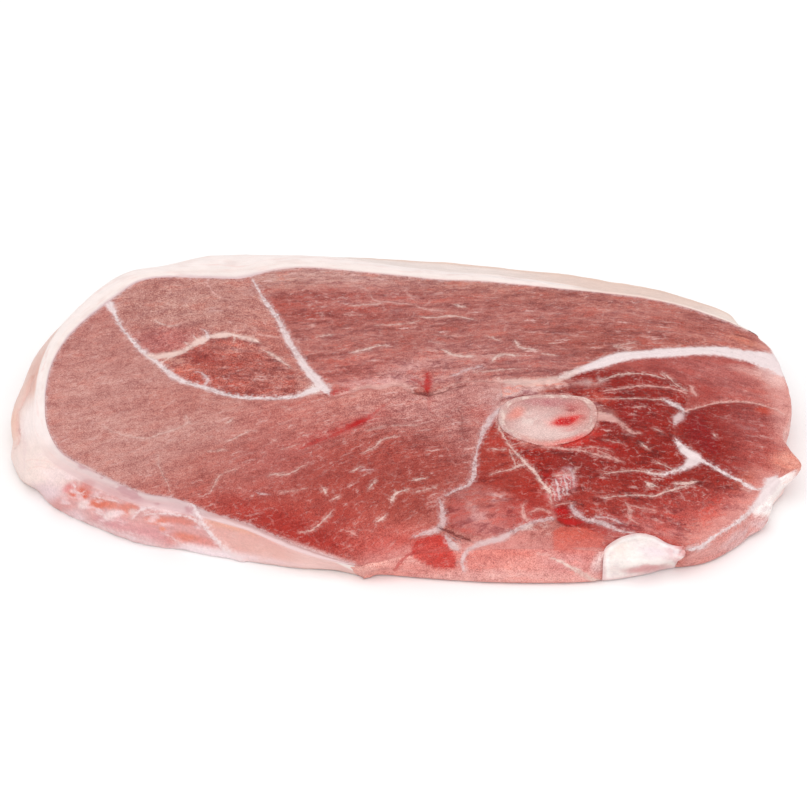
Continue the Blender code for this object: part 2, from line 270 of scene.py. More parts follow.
SEAMS = {
    "A": ([(-90.5, 45.5), (-88.7, 41.3), (-86.7, 35.7), (-84.3, 30.2), (-81.8, 25.8), (-79.4, 21.5),
           (-76.7, 17.9), (-74.0, 14.8), (-71.0, 11.2), (-68.1, 7.1), (-64.9, 4.1), (-61.5, 2.6),
           (-57.8, 0.7), (-53.9, -1.3), (-49.6, -3.3), (-44.8, -4.3), (-39.8, -4.3), (-35.4, -4.4),
           (-31.0, -3.9), (-27.8, -1.9), (-24.9, 0.1)],
          (3.0, 1.4, 0.9, 1.0, 1.6, 2.1, 1.7, 2.3, 1.6, 2.0, 1.4, 1.7, 1.5, 1.9, 2.8), WHITE, 0.98, 0, 0.25),
    "B": ([(-46.5, 58.1), (-44.4, 53.0), (-42.0, 46.3), (-39.3, 40.4), (-36.9, 35.1), (-35.5, 29.8),
           (-33.5, 24.0), (-31.1, 17.8), (-29.2, 13.1), (-26.6, 7.9), (-24.1, 3.2), (-21.6, -1.0)],
          (0.5, 0.9, 1.5, 1.3, 1.9, 2.2, 1.9, 2.7, 3.1, 2.6), WHITE, 0.92, 1, 0.25),
    "C": ([(-76.7, 17.9), (-73.8, 16.3), (-70.6, 16.9), (-67.9, 18.0), (-65.3, 19.7), (-63.1, 22.3),
           (-60.8, 24.5), (-58.2, 27.1), (-54.9, 27.7), (-51.9, 28.2), (-48.8, 27.2), (-45.7, 26.1),
           (-43.2, 24.6)], (0.8, 2.4, 2.8, 2.2, 1.6, 3.2, 1.5, 2.9, 1.3, 2.0, 1.0), CREAM, 0.95, 1, 0.1),
    "C2": ([(-41.8, 20.4), (-38.7, 17.8), (-36.1, 14.7), (-33.0, 11.1)], (0.4, 1.3, 1.2, 0.4), CREAM, 0.8, 0, 0.1),
    "C3": ([(-43.3, 28.2), (-40.9, 27.2), (-37.2, 26.7)], (0.5, 1.2, 0.8), PINK, 0.7, 0, 0.0),
    "Cst": ([(-68.1, 32.9), (-70.4, 31.9), (-73.0, 33.5), (-75.3, 35.7)], (0.5, 1.0, 0.7, 0.3), CREAM, 0.65, 2, 0.0),
    "Cs2": ([(-61.2, 57.1), (-59.4, 53.2), (-57.3, 49.2), (-53.5, 46.4)], (0.7, 0.7, 0.5, 0.3), PINK, 0.75, 2, 0.0),
    "C4": ([(-64.6, 20.4), (-64.4, 22.4), (-65.4, 24.0)], (1.0, 0.7, 0.3), CREAM, 0.8, 2, 0.0),
    "C5": ([(-61.6, 23.8), (-61.8, 25.6), (-63.2, 27.4)], (1.1, 0.8, 0.3), CREAM, 0.8, 2, 0.0),
    "C6": ([(-58.6, 26.6), (-59.0, 28.8), (-60.6, 30.6)], (1.2, 0.8, 0.3), WHITE, 0.8, 2, 0.0),
    "C7": ([(-51.2, 28.4), (-50.4, 26.4), (-50.6, 23.8)], (0.9, 0.6, 0.3), CREAM, 0.7, 2, 0.0),
    "C8": ([(-68.9, 17.4), (-69.9, 15.2), (-72.0, 13.8)], (1.2, 1.0, 0.4), CREAM, 0.75, 2, 0.0),
    "C9": ([(-46.4, 26.4), (-45.0, 24.2), (-45.6, 22.4)], (0.8, 0.5, 0.3), PINK, 0.7, 2, 0.0),
    "Cs3": ([(-61.0, 8.3), (-58.8, 7.3), (-57.2, 4.3), (-58.2, 1.2)], (0.4, 1.2, 0.9, 0.7), LILAC, 0.8, 2, 0.0),
    "Y1": ([(-85.9, -19.0), (-83.4, -21.4), (-81.0, -22.9), (-78.0, -23.9), (-74.4, -25.3), (-71.6, -24.4),
            (-68.8, -22.5), (-65.8, -21.0), (-63.3, -19.1), (-61.1, -16.6)],
           (0.3, 0.4, 0.6, 0.8, 0.6, 0.6, 0.5), CREAM, 0.5, 2, 0.12),
    "Y2": ([(-74.4, -25.3), (-76.2, -27.7), (-78.6, -30.1)], (0.6, 0.4, 0.3), PINK, 0.4, 0, 0.0),
    "Y3": ([(-62.5, -14.1), (-61.6, -16.0), (-61.0, -18.1)], (0.4, 0.7, 0.3), CREAM, 0.5, 0, 0.0),
    "Y4": ([(-69.2, -33.1), (-68.2, -39.2), (-66.1, -44.9), (-64.3, -50.4)], (0.3, 0.4, 0.5, 0.4), CREAM, 0.45, 2, 0.0),
    "Y5": ([(-79.4, -7.3), (-77.3, -4.3)], (0.3, 0.5), PINK, 0.4, 2, 0.0),
    "E": ([(-21.0, -3.2), (-16.3, -1.6), (-12.8, 0.4), (-9.5, 1.3), (-6.0, 0.7), (-2.4, 2.2),
           (0.9, 1.6), (3.5, -0.5)], (0.5, 1.1, 1.9, 2.2, 2.4, 1.9, 0.9), PINK, 0.8, 2, 0.5),
    "E2": ([(9.5, -1.6), (12.5, -0.2), (16.8, 2.4), (21.9, 3.8), (26.1, 3.6), (30.3, 3.4)],
           (0.5, 1.0, 0.7, 0.5, 0.8, 1.2), PINK, 0.7, 2, 0.4),
    "D0": ([(29.0, 4.2), (32.0, 2.6), (35.6, 2.4), (39.5, 2.2), (43.4, 3.2), (47.6, 5.0), (51.0, 7.4), (54.6, 10.0)],
           (1.2, 2.8, 4.2, 3.0, 3.8, 2.4, 2.6, 1.2), CREAM, 0.62, 1, -0.05),
    "D": ([(47.6, 5.5), (52.2, 8.2), (56.8, 11.0),
           (60.6, 13.3), (63.7, 15.0), (66.8, 16.7), (70.9, 17.9), (75.4, 18.6), (80.0, 19.3), (84.6, 19.9),
           (89.8, 20.6), (94.4, 20.8), (98.8, 20.1), (103.2, 18.6), (107.2, 17.2), (110.8, 15.6), (117.0, 12.6)],
          (1.4, 2.2, 3.0, 4.2, 4.8, 4.2, 4.0, 4.6, 4.4, 4.2, 4.4, 4.8, 5.3, 7.2, 9.6, 12.0),
          WHITE, 1.0, 0, -0.1),
    "G": ([(29.2, -11.0), (28.3, -12.3), (26.5, -14.7), (25.3, -18.1), (24.0, -21.4), (23.1, -25.4),
           (22.1, -29.8), (21.4, -35.0), (21.0, -40.0), (19.8, -43.4), (17.5, -45.5), (14.7, -46.8), (13.0, -48.4)],
          (2.2, 2.0, 1.8, 1.8, 1.2, 0.7, 0.7, 1.1, 1.6, 1.6, 1.2, 1.0, 0.6), LILAC, 0.92, 1, 0.3),
    "H": ([(28.5, -18.1), (29.2, -21.4), (30.8, -25.5), (32.7, -29.5), (34.6, -32.9), (36.8, -36.4),
           (38.9, -40.2), (40.5, -44.0), (42.1, -46.9)], (0.7, 0.5, 0.5, 0.6, 1.0, 1.2, 1.0, 1.0, 1.4),
          CREAM, 0.9, 0, 0.3),
    "Hb": ([(35.4, -35.5), (33.1, -37.2), (30.7, -38.4), (27.9, -39.2), (25.9, -40.4)], (1.2, 0.8, 0.5, 0.3), CREAM, 0.7, 2, 0.1),
    "Hc": ([(25.8, -29.4), (28.7, -29.9), (30.4, -29.4)], (0.4, 0.7, 0.3), CREAM, 0.7, 2, 0.0),
    "Hd": ([(31.3, -29.4), (32.1, -32.9), (33.1, -36.3)], (0.3, 0.5, 0.4), CREAM, 0.6, 2, 0.0),
    "I": ([(42.5, -58.0), (39.0, -59.2), (36.2, -60.0), (33.4, -62.0), (30.5, -64.5), (27.7, -66.6),
           (24.6, -67.8), (21.5, -69.0), (19.3, -71.0), (17.6, -74.0), (17.0, -77.5), (17.7, -81.0)],
          (1.4, 1.2, 1.1, 1.4, 1.9, 2.3, 2.3, 2.1, 1.8, 1.5, 1.1, 0.8), LILAC, 0.84, 0, 0.2),
    "I2": ([(34.8, -52.5), (34.4, -55.4), (35.4, -58.7)], (0.4, 1.0, 1.2), PINK, 0.8, 1, 0.1),
    "I3": ([(36.4, -55.8), (39.2, -54.7), (42.0, -55.9)], (0.5, 0.9, 1.0), PINK, 0.7, 1, 0.0),
    "J": ([(3.9, -63.6), (6.1, -62.8), (8.6, -62.4), (10.6, -61.4), (12.0, -58.9), (12.0, -55.8),
           (11.5, -52.7), (11.3, -50.0)], (0.6, 1.8, 1.9, 2.0, 2.1, 1.5, 1.0, 0.5), LILAC, 0.8, 1, 0.15),
    "J2": ([(12.6, -64.0), (13.4, -66.4), (14.8, -69.2), (15.8, -71.0)], (0.6, 1.5, 2.0, 1.2), LILAC, 0.8, 2, 0.0),
    "J3": ([(11.0, -60.6), (13.4, -62.6), (16.0, -65.0), (19.5, -67.0)], (0.6, 1.1, 1.1, 0.5), DARK, 0.85, 2, 0.3),
    "K": ([(48.2, -53.1), (49.2, -56.0), (51.3, -58.5), (54.1, -59.3), (56.8, -60.5), (59.4, -62.5),
           (62.4, -63.7), (65.4, -64.4)], (1.3, 1.9, 1.4, 1.9, 1.4, 1.0, 0.6), LILAC, 0.85, 0, 0.15),
    "L": ([(79.7, -24.1), (80.9, -27.7), (82.4, -30.4), (84.5, -32.6), (87.2, -34.2), (89.6, -36.3),
           (92.0, -38.3), (94.1, -40.4), (96.5, -42.0), (98.8, -44.6), (101.4, -45.2), (104.4, -44.8)],
          (0.8, 1.6, 3.2, 2.4, 1.5, 1.1, 1.4, 1.2, 1.2, 1.3, 0.9, 1.0), WHITE, 0.92, 1, 0.2),
    "Lb": ([(81.8, -28.6), (83.4, -31.0), (84.3, -33.2), (82.6, -35.6), (80.4, -37.5), (77.4, -39.2),
            (73.9, -40.2), (70.5, -39.4)], (1.0, 3.4, 4.4, 2.4, 1.6, 1.2, 0.8, 0.6), WHITE, 0.92, 0, 0.1),
    "L2": ([(73.9, -40.2), (70.5, -39.4), (66.6, -39.0), (62.0, -39.5), (57.9, -40.4)], (0.8, 0.6, 0.4, 0.5, 0.3), CREAM, 0.75, 2, 0.1),
    "N": ([(83.8, -10.0), (87.6, -7.8), (91.0, -6.2), (94.9, -5.1), (98.8, -4.6), (103.2, -5.1),
           (107.1, -6.6), (110.4, -8.6), (112.5, -11.1)], (0.8, 0.8, 0.7, 1.0, 1.0, 0.9, 0.8, 0.7), PINK, 0.9, 1, 0.35),
    "M1": ([(77.8, -4.5), (79.7, -6.5), (81.9, -8.5), (83.8, -10.0)], (0.8, 1.6, 2.0, 1.0), WHITE, 0.85, 0, 0.1),
    "M2": ([(83.2, -10.5), (81.5, -13.6), (79.8, -17.2)], (1.0, 3.2, 1.2), LILAC, 0.85, 0, 0.0),
    "M3": ([(86.1, 2.4), (86.8, -0.2), (87.4, -2.7)], (0.5, 1.6, 0.8), PINK, 0.75, 0, 0.0),
    "a1": ([(60.3, -1.1), (64.5, 0.1), (68.8, 1.3), (73.0, 2.0), (77.1, 1.6), (81.2, 0.7), (84.6, -1.2)],
           (0.4, 0.7, 1.0, 1.1, 0.9, 0.7, 1.1), PINK, 0.8, 2, 0.2),
    "a2": ([(59.4, 3.9), (63.2, 6.2), (67.5, 7.9), (71.7, 8.1), (75.2, 7.7), (78.7, 5.8)],
           (0.4, 0.8, 1.0, 0.7, 0.8, 0.4), CREAM, 0.7, 2, 0.1),
    "a3": ([(78.9, 8.9), (80.5, 5.9), (82.3, 2.8), (84.7, 0.3)], (0.4, 0.6, 0.6, 0.6), CREAM, 0.7, 2, 0.1),
    "a4": ([(57.7, -5.3), (62.4, -5.1), (67.8, -4.9), (73.1, -4.7), (77.8, -5.0)], (0.3, 0.4, 0.6, 0.4, 0.7), CREAM, 0.7, 2, 0.1),
    "S": ([(57.2, -14.4), (60.1, -14.8), (62.9, -16.2), (65.0, -19.2), (67.1, -22.0), (69.7, -22.4)],
          (3.6, 3.4, 2.2, 1.6, 1.6, 0.6), PINK, 0.75, 0, 0.0),
    "P1": ([(57.4, -50.3), (61.9, -49.4), (67.6, -49.0), (71.5, -49.3), (74.4, -48.0), (77.7, -46.3), (81.4, -45.0)],
           (0.3, 0.4, 0.5, 0.7, 0.7, 0.9, 0.5), CREAM, 0.8, 2, 0.1),
    "P2": ([(77.8, -44.3), (80.9, -44.2), (83.9, -43.2)], (0.8, 1.6, 0.6), CREAM, 0.85, 2, 0.0),
    "P3": ([(63.4, -52.3), (64.4, -55.5), (64.1, -58.8)], (0.6, 1.1, 0.8), PINK, 0.75, 2, 0.0),
    "P4": ([(64.5, -53.1), (67.2, -54.3), (71.4, -55.4)], (0.4, 0.9, 0.4), PINK, 0.65, 1, 0.0),
    "P5": ([(54.7, -58.0), (58.0, -58.0), (61.8, -60.8)], (0.6, 1.0, 0.6), LILAC, 0.7, 1, 0.0),
    "Q1": ([(41.7, -28.2), (46.0, -29.1), (50.2, -30.0), (54.5, -31.4), (58.7, -33.1), (62.3, -34.8)],
           (1.4, 1.2, 0.7, 0.8, 1.3, 0.5), PINK, 0.75, 0, 0.1),
    "Q2": ([(50.2, -29.6), (54.6, -29.2), (58.6, -29.6), (60.8, -30.9)], (0.4, 0.7, 0.6, 0.4), PINK, 0.65, 1, 0.0),
    "edge": ([(79.9, -70.7), (82.7, -69.8), (86.4, -66.0), (90.3, -62.6), (93.9, -59.6), (97.1, -55.9),
              (99.7, -52.5), (102.0, -49.2), (104.4, -45.4), (106.1, -42.0)],
             (1.8, 1.5, 1.2, 1.2, 1.3, 1.5, 1.8, 2.4, 3.6, 4.6), WHITE, 0.95, 0, 0.0),
    # the frayed border of the fat
    "rim": ([(r[0], r[1]) for r in FAT_RIBS[::-1]], (0.7, 1.1, 0.7, 1.2, 0.9, 0.6, 1.1, 0.7, 0.6, 0.8, 1.1, 0.8, 0.7, 1.0, 0.8), LILAC, 0.6, 2, 0.0),
    # splits and blood, darker than the lean round them
    "fold": ([(3.4, -1.4), (6.0, -2.4), (8.6, -2.4), (12.0, -1.6), (16.0, 0.6), (21.0, 1.8)],
             (1.2, 1.6, 1.4, 0.8, 0.7, 0.3), DARK, 0.75, 1, 0.9),
    "spot": ([(8.0, 7.0), (8.2, 3.6), (8.0, -0.4)], (0.8, 2.2, 2.0), RED, 0.9, 0, 0.2),
    "spot2": ([(3.2, 4.2), (5.0, 3.0), (6.6, 0.6)], (0.7, 1.6, 1.0), RED, 0.5, 2, 0.0),
    "down": ([(8.3, -2.6), (8.6, -6.0), (8.4, -9.4), (9.4, -12.4)], (1.6, 1.4, 1.0, 0.4), RED, 0.22, 0, 0.5),
    "Eleft": ([(-24.0, -1.4), (-21.0, -1.4), (-18.0, -2.8), (-14.4, -1.4)], (0.8, 1.2, 1.2, 0.6), RED, 0.65, 0, 0.4),
    "blood": ([(-29.0, -30.5), (-23.6, -26.4), (-18.4, -23.0), (-13.6, -18.4), (-9.6, -15.2), (-7.4, -12.4), (-4.4, -9.0)],
              (0.4, 1.4, 1.1, 1.9, 2.3, 1.3, 0.5), RED, 0.52, 1, 0.15),
    "gut": ([(16.6, -10.2), (18.2, -15.0), (17.9, -20.5), (18.8, -26.0)], (0.4, 0.9, 0.9, 0.4), DARK, 0.32, 2, 0.15),
    "red1": ([(44.4, -58.4), (47.6, -60.2), (51.0, -59.4)], (1.2, 3.0, 1.2), RED, 0.9, 2, 0.2),
    "red2": ([(4.0, -69.4), (0.8, -72.6), (-1.4, -76.4)], (1.0, 1.4, 1.0), RED, 0.6, 2, 0.2),
    "wallI": ([(41.4, -75.2), (46.6, -79.2), (51.8, -84.0), (55.2, -86.0)], (0.8, 1.4, 1.7, 1.8), CREAM, 0.95, 1, 0.1),
}

# short flecks of fat between the fibres
FLECKS = [
    # fibres of the vessel in front of the femur
    ([(41.6, -44.6), (42.4, -48.0), (42.6, -52.0)], 0.9, CREAM, 0.75),
    ([(44.2, -42.4), (44.6, -46.6), (45.0, -51.0)], 1.2, WHITE, 0.70),
    ([(46.4, -41.0), (47.0, -45.0), (47.0, -49.0)], 1.0, WHITE, 0.75),
    ([(48.4, -38.2), (49.2, -42.0), (49.0, -46.0)], 1.0, LILAC, 0.80),
    ([(43.0, -41.6), (47.4, -40.2), (50.6, -37.8)], 0.9, CREAM, 0.60),
    ([(43.6, -53.4), (46.0, -52.2), (49.6, -51.8)], 0.8, PINK, 0.60),
    # upper long muscle
    ([(-32.4, 57.5), (-27.7, 58.2), (-23.3, 56.6)], 1.8, PINK, 0.35),
    ([(-17.0, 55.0), (-11.7, 53.4), (-9.4, 50.7)], 2.0, PINK, 0.45),
    ([(-9.4, 49.6), (-7.5, 46.2), (-2.3, 45.2), (4.3, 44.2)], 1.3, PINK, 0.65),
    ([(-15.6, 43.3), (-10.6, 43.9), (-5.4, 44.6)], 1.0, CREAM, 0.6),
    ([(0.8, 52.6), (2.7, 49.8), (4.3, 46.4)], 1.4, PINK, 0.45),
    ([(4.9, 43.6), (8.9, 41.4), (14.1, 40.8)], 1.2, PINK, 0.65),
    ([(5.8, 37.4), (11.3, 36.9), (15.9, 38.0), (22.6, 35.7)], 1.2, CREAM, 0.75),
    ([(-7.4, 32.4), (-3.4, 32.9), (2.4, 33.5), (5.8, 35.2)], 0.9, CREAM, 0.55),
    ([(16.6, 44.2), (20.3, 42.5)], 1.4, CREAM, 0.7),
    ([(-28.2, 32.4), (-25.8, 32.4)], 2.0, PINK, 0.6),
    ([(-25.6, 26.1), (-20.5, 27.6)], 0.9, CREAM, 0.6),
    ([(-17.6, 38.4), (-11.5, 38.4)], 1.2, PINK, 0.55),
    ([(-14.8, 18.0), (-10.6, 19.5), (-7.3, 21.1), (-3.7, 21.5)], 1.4, CREAM, 0.75),
    ([(-28.7, 17.2), (-22.7, 19.2)], 0.6, PINK, 0.5),
    ([(12.6, 19.2), (17.1, 15.9), (22.8, 15.9)], 1.7, CREAM, 0.75),
    ([(9.6, 23.0), (13.9, 21.9)], 1.6, PINK, 0.6),
    ([(8.8, 26.8), (20.0, 26.8), (24.9, 27.4)], 0.8, PINK, 0.5),
    ([(26.4, 26.8), (30.3, 24.1)], 1.1, CREAM, 0.6),
    ([(34.8, 24.1), (36.5, 20.4), (41.3, 19.4)], 1.6, CREAM, 0.8),
    ([(27.5, 12.8), (30.1, 16.5), (35.8, 16.1)], 1.8, CREAM, 0.8),
    ([(15.4, 5.5), (20.6, 9.1), (25.1, 10.7)], 1.6, LILAC, 0.55),
    ([(45.1, 22.7), (47.6, 23.3)], 1.3, CREAM, 0.7),
    ([(42.4, 17.3), (47.2, 16.4)], 1.1, CREAM, 0.65),
    ([(71.3, 24.7), (64.5, 21.8)], 0.8, CREAM, 0.7),
    ([(64.5, 21.8), (70.4, 20.0)], 0.7, CREAM, 0.6),
    ([(22.6, 7.6), (29.8, 8.7), (35.8, 9.3)], 1.0, CREAM, 0.55),
    ([(52.2, 36.9), (61.3, 34.9)], 0.7, PINK, 0.4),
    ([(67.8, 40.4), (76.9, 37.5)], 0.7, PINK, 0.35),
    ([(48.7, 28.1), (57.7, 26.3)], 0.8, PINK, 0.45),
    ([(76.4, 31.1), (88.4, 28.4)], 0.7, PINK, 0.35),
    ([(30.9, 44.7), (40.1, 42.4)], 0.8, PINK, 0.45),
    ([(21.7, 49.4), (31.0, 47.6)], 0.8, PINK, 0.4),
    # middle muscle
    ([(-36.8, -42.6), (-32.0, -42.4), (-27.0, -37.7)], 0.7, CREAM, 0.7),
    ([(-34.4, -30.8), (-29.3, -28.4)], 0.6, CREAM, 0.6),
    ([(-34.3, -9.5), (-31.9, -11.5)], 1.6, PINK, 0.7),
    ([(-9.3, -21.5), (-4.7, -19.1)], 0.6, CREAM, 0.6),
    ([(-10.6, -31.7), (-7.8, -29.3), (-4.9, -25.6), (-1.2, -24.2)], 0.7, CREAM, 0.75),
    ([(-2.0, -19.1), (5.5, -19.0)], 0.5, CREAM, 0.5),
    ([(-13.9, -40.3), (-11.1, -37.5)], 0.6, CREAM, 0.7),
    ([(-11.4, -39.3), (-7.4, -39.1)], 1.1, LILAC, 0.6),
    ([(-9.0, -47.5), (-6.8, -43.4)], 0.8, CREAM, 0.75),
    ([(-2.5, -51.8), (-1.1, -48.7), (2.3, -47.1)], 1.4, CREAM, 0.85),
    ([(3.1, -43.4), (7.4, -42.0)], 1.1, CREAM, 0.8),
    ([(3.7, -48.2), (9.3, -46.1), (10.5, -45.2)], 0.6, CREAM, 0.6),
    ([(-21.7, -47.4), (-20.8, -49.5)], 1.4, CREAM, 0.85),
    ([(-27.8, -62.6), (-23.7, -60.5), (-18.7, -54.7)], 0.7, CREAM, 0.75),
    ([(-6.7, -58.0), (-3.9, -55.7)], 0.9, CREAM, 0.8),
    ([(-15.3, -60.4), (-11.7, -61.9)], 0.8, PINK, 0.6),
    ([(-33.7, -50.0), (-25.9, -48.0)], 0.5, CREAM, 0.5),
    ([(-18.8, -51.3), (-16.9, -49.9)], 0.7, CREAM, 0.7),
    # left muscle
    ([(-55.0, -31.9), (-49.6, -30.9)], 0.7, CREAM, 0.6),
    ([(-50.3, -27.5), (-46.2, -24.1), (-42.6, -21.1)], 0.8, CREAM, 0.6),
    ([(-53.0, -50.9), (-50.9, -43.2), (-46.3, -40.0)], 0.6, CREAM, 0.6),
    ([(-37.6, -43.0), (-32.6, -41.5)], 0.7, CREAM, 0.65),
    ([(-40.4, -50.5), (-37.0, -51.0)], 0.9, LILAC, 0.6),
    ([(-50.3, -18.1), (-48.4, -15.1)], 1.0, CREAM, 0.6),
    ([(-68.6, -9.7), (-66.2, -6.1)], 0.9, PINK, 0.55),
    ([(-45.2, -21.1), (-41.1, -22.1)], 1.4, PINK, 0.6),
    ([(-36.9, -26.0), (-35.4, -27.0)], 1.2, PINK, 0.6),
    # right side
    ([(68.9, -9.5), (71.9, -8.8)], 0.9, CREAM, 0.75),
    ([(69.4, -27.1), (71.5, -29.8)], 1.0, CREAM, 0.75),
    ([(55.7, -30.0), (60.1, -32.7), (63.6, -35.7)], 0.8, PINK, 0.6),
    ([(72.9, -34.6), (78.5, -38.8)], 0.7, CREAM, 0.7),
    ([(73.4, -19.4), (75.9, -21.3)], 1.0, CREAM, 0.6),
    ([(69.4, -43.6), (70.7, -44.8), (72.3, -45.6)], 2.2, CREAM, 0.9),
    ([(63.6, -54.7), (64.4, -58.8), (66.3, -60.4)], 0.9, PINK, 0.75),
    ([(97.0, -45.7), (99.4, -46.8)], 1.3, PINK, 0.6),
    ([(90.6, -21.8), (91.6, -23.7)], 0.8, CREAM, 0.6),
    ([(56.9, -38.7), (60.8, -40.4)], 0.6, CREAM, 0.5),
    ([(45.5, -38.6), (50.0, -41.2)], 0.6, PINK, 0.45),
    ([(58.8, -25.5), (63.9, -27.2)], 0.7, CREAM, 0.5),
    ([(102.2, 0.2), (102.4, -0.2)], 1.6, PINK, 0.7),
    ([(110.0, 2.2), (110.8, 1.8)], 2.2, PINK, 0.5),
    ([(107.4, -23.0), (107.8, -23.4)], 1.3, PINK, 0.6),
    ([(97.5, -17.2), (104.1, -20.3)], 3.0, LILAC, 0.08),
]


def curve_points(stations, widths, step=0.8):
    """Even points with a full width each along a smooth line."""
    st = np.array(stations, float)
    q = spline(st, False, 12) if len(st) > 2 else st
    length = np.hypot(*np.diff(q, axis=0).T).sum()
    n = max(int(length / step) + 1, 3)
    q = resample(q, n, False)
    w = np.array(widths, float)
    at = np.linspace(0, 1, n)
    return q, np.interp(at, np.linspace(0, 1, len(w)), w)


def line_field(X, Y, lines, room=1.1):
    """For each point the best line's signed distance, half width there,
    strength, ink and groove. Half widths fall away past a line's ends and
    well to its sides, so that no false line shows between two lines."""
    n = len(X)
    out = dict(s=np.full(n, 9.0), hw=np.full(n, -9.0), k=np.zeros(n),
               ink=np.zeros(n, int), groove=np.zeros(n))
    best = np.full(n, -9.0)
    for pts, widths, ink, k, groove in lines:
        q, w = curve_points(pts, widths)
        reach = w.max() / 2 + 4.0
        lo, hi = q.min(axis=0) - reach, q.max(axis=0) + reach
        idx = np.flatnonzero((X > lo[0]) & (X < hi[0]) & (Y > lo[1]) & (Y < hi[1]))
        if not len(idx):
            continue
        a, b = q[:-1], q[1:]
        ab = b - a
        l2 = np.maximum((ab ** 2).sum(axis=1), 1e-9)
        for part in np.array_split(idx, max(1, len(idx) * len(a) // 1500000 + 1)):
            px, py = X[part][:, None], Y[part][:, None]
            raw = ((px - a[:, 0]) * ab[:, 0] + (py - a[:, 1]) * ab[:, 1]) / l2
            t = np.clip(raw, 0, 1)
            dx, dy = px - a[:, 0] - t * ab[:, 0], py - a[:, 1] - t * ab[:, 1]
            d2 = dx * dx + dy * dy
            j = d2.argmin(axis=1)
            r = np.arange(len(part))
            cross = ab[j, 0] * dy[r, j] - ab[j, 1] * dx[r, j]
            side = np.where(cross >= 0, 1.0, -1.0)
            seg = np.sqrt(l2[j])
            over = np.where((j == 0) & (raw[r, j] < 0), -raw[r, j] * seg, 0.0) \
                + np.where((j == len(a) - 1) & (raw[r, j] > 1), (raw[r, j] - 1) * seg, 0.0)
            dist = np.where(over > 0, np.abs(cross) / seg, np.sqrt(d2[r, j]))
            half = (w[j] + (w[j + 1] - w[j]) * t[r, j]) / 2 - 0.8 * over
            half = half - 2.0 * np.maximum(0.0, dist - np.maximum(half, 0) - room)
            score = half - dist
            win = score > best[part]
            at = part[win]
            best[at] = score[win]
            out["s"][at] = (side * dist)[win]
            out["hw"][at] = half[win]
            out["k"][at] = k
            out["ink"][at] = ink
            out["groove"][at] = groove
    return out


# ---------------------------------------------------------------------------
# the run of the fibres: smooth maps (along, across) for each muscle, from the
# directions the fibres take at named spots
# ---------------------------------------------------------------------------
FIBRES = {
    # x, y, direction in degrees on the face
    "upper": [(-33, 52, -3), (2, 49, -4), (15, 36, 0), (43, 44, -9), (69, 40, -17), (94, 30, -30),
              (110, 22, -45), (-16, 19, 16), (-22, 3, 8), (12, 19, -10), (19, 8, 30), (31, 12, 16),
              (48, 18, 2), (60, 20, 18), (74, 24, 3), (92, 28, -20), (17, 31, 0), (-30, 30, 4), (-5, 30, 3)],
    "middle": [(-98, 8, 12), (-82, 25, 45), (-62, -32, 22), (-46, -40, 28), (-39, -23, 28),
               (-29, -11, 22), (-30, -31, 34), (-17, -23, 38), (-18, -38, 42), (-16, -50, 46),
               (0, -50, 44), (0, -40, 34), (9, -50, 32), (8, -33, 8), (1, -22, 8), (12, -20, 0),
               (21, -25, 0), (21, -16, 12), (19, -7, 42), (28, -2, 52), (6, -6, 34), (-5, -5, 20),
               (-18, -5, 12), (-30, -62, 36), (-7, -66, 42), (-46, -6, 14), (-70, 0, 20), (-20, -14, 26)],
    "triangle": [(-75, 33, 22), (-60, 40, 10), (-48, 30, -30), (-45, 50, -20), (-60, 22, 30), (-50, 10, 18), (-35, 8, 5)],
    "right": [(47, 0, 24), (66, 6, 10), (77, 5, -28), (87, 0, -40), (65, -4, 0), (71, -22, -25),
              (59, -27, -20), (52, -36, -14), (46, -41, -6), (59, -47, 0), (73, -47, 12), (88, -44, 14),
              (96, -41, -36), (73, -60, -20), (88, -60, 30), (59, -56, -20), (30, -36, 22), (33, -50, -14),
              (24, -46, 0), (98, -20, -20), (92, 8, -20), (20, -56, 20), (30, -70, 4), (60, -70, 4), (105, -30, -30)],
}


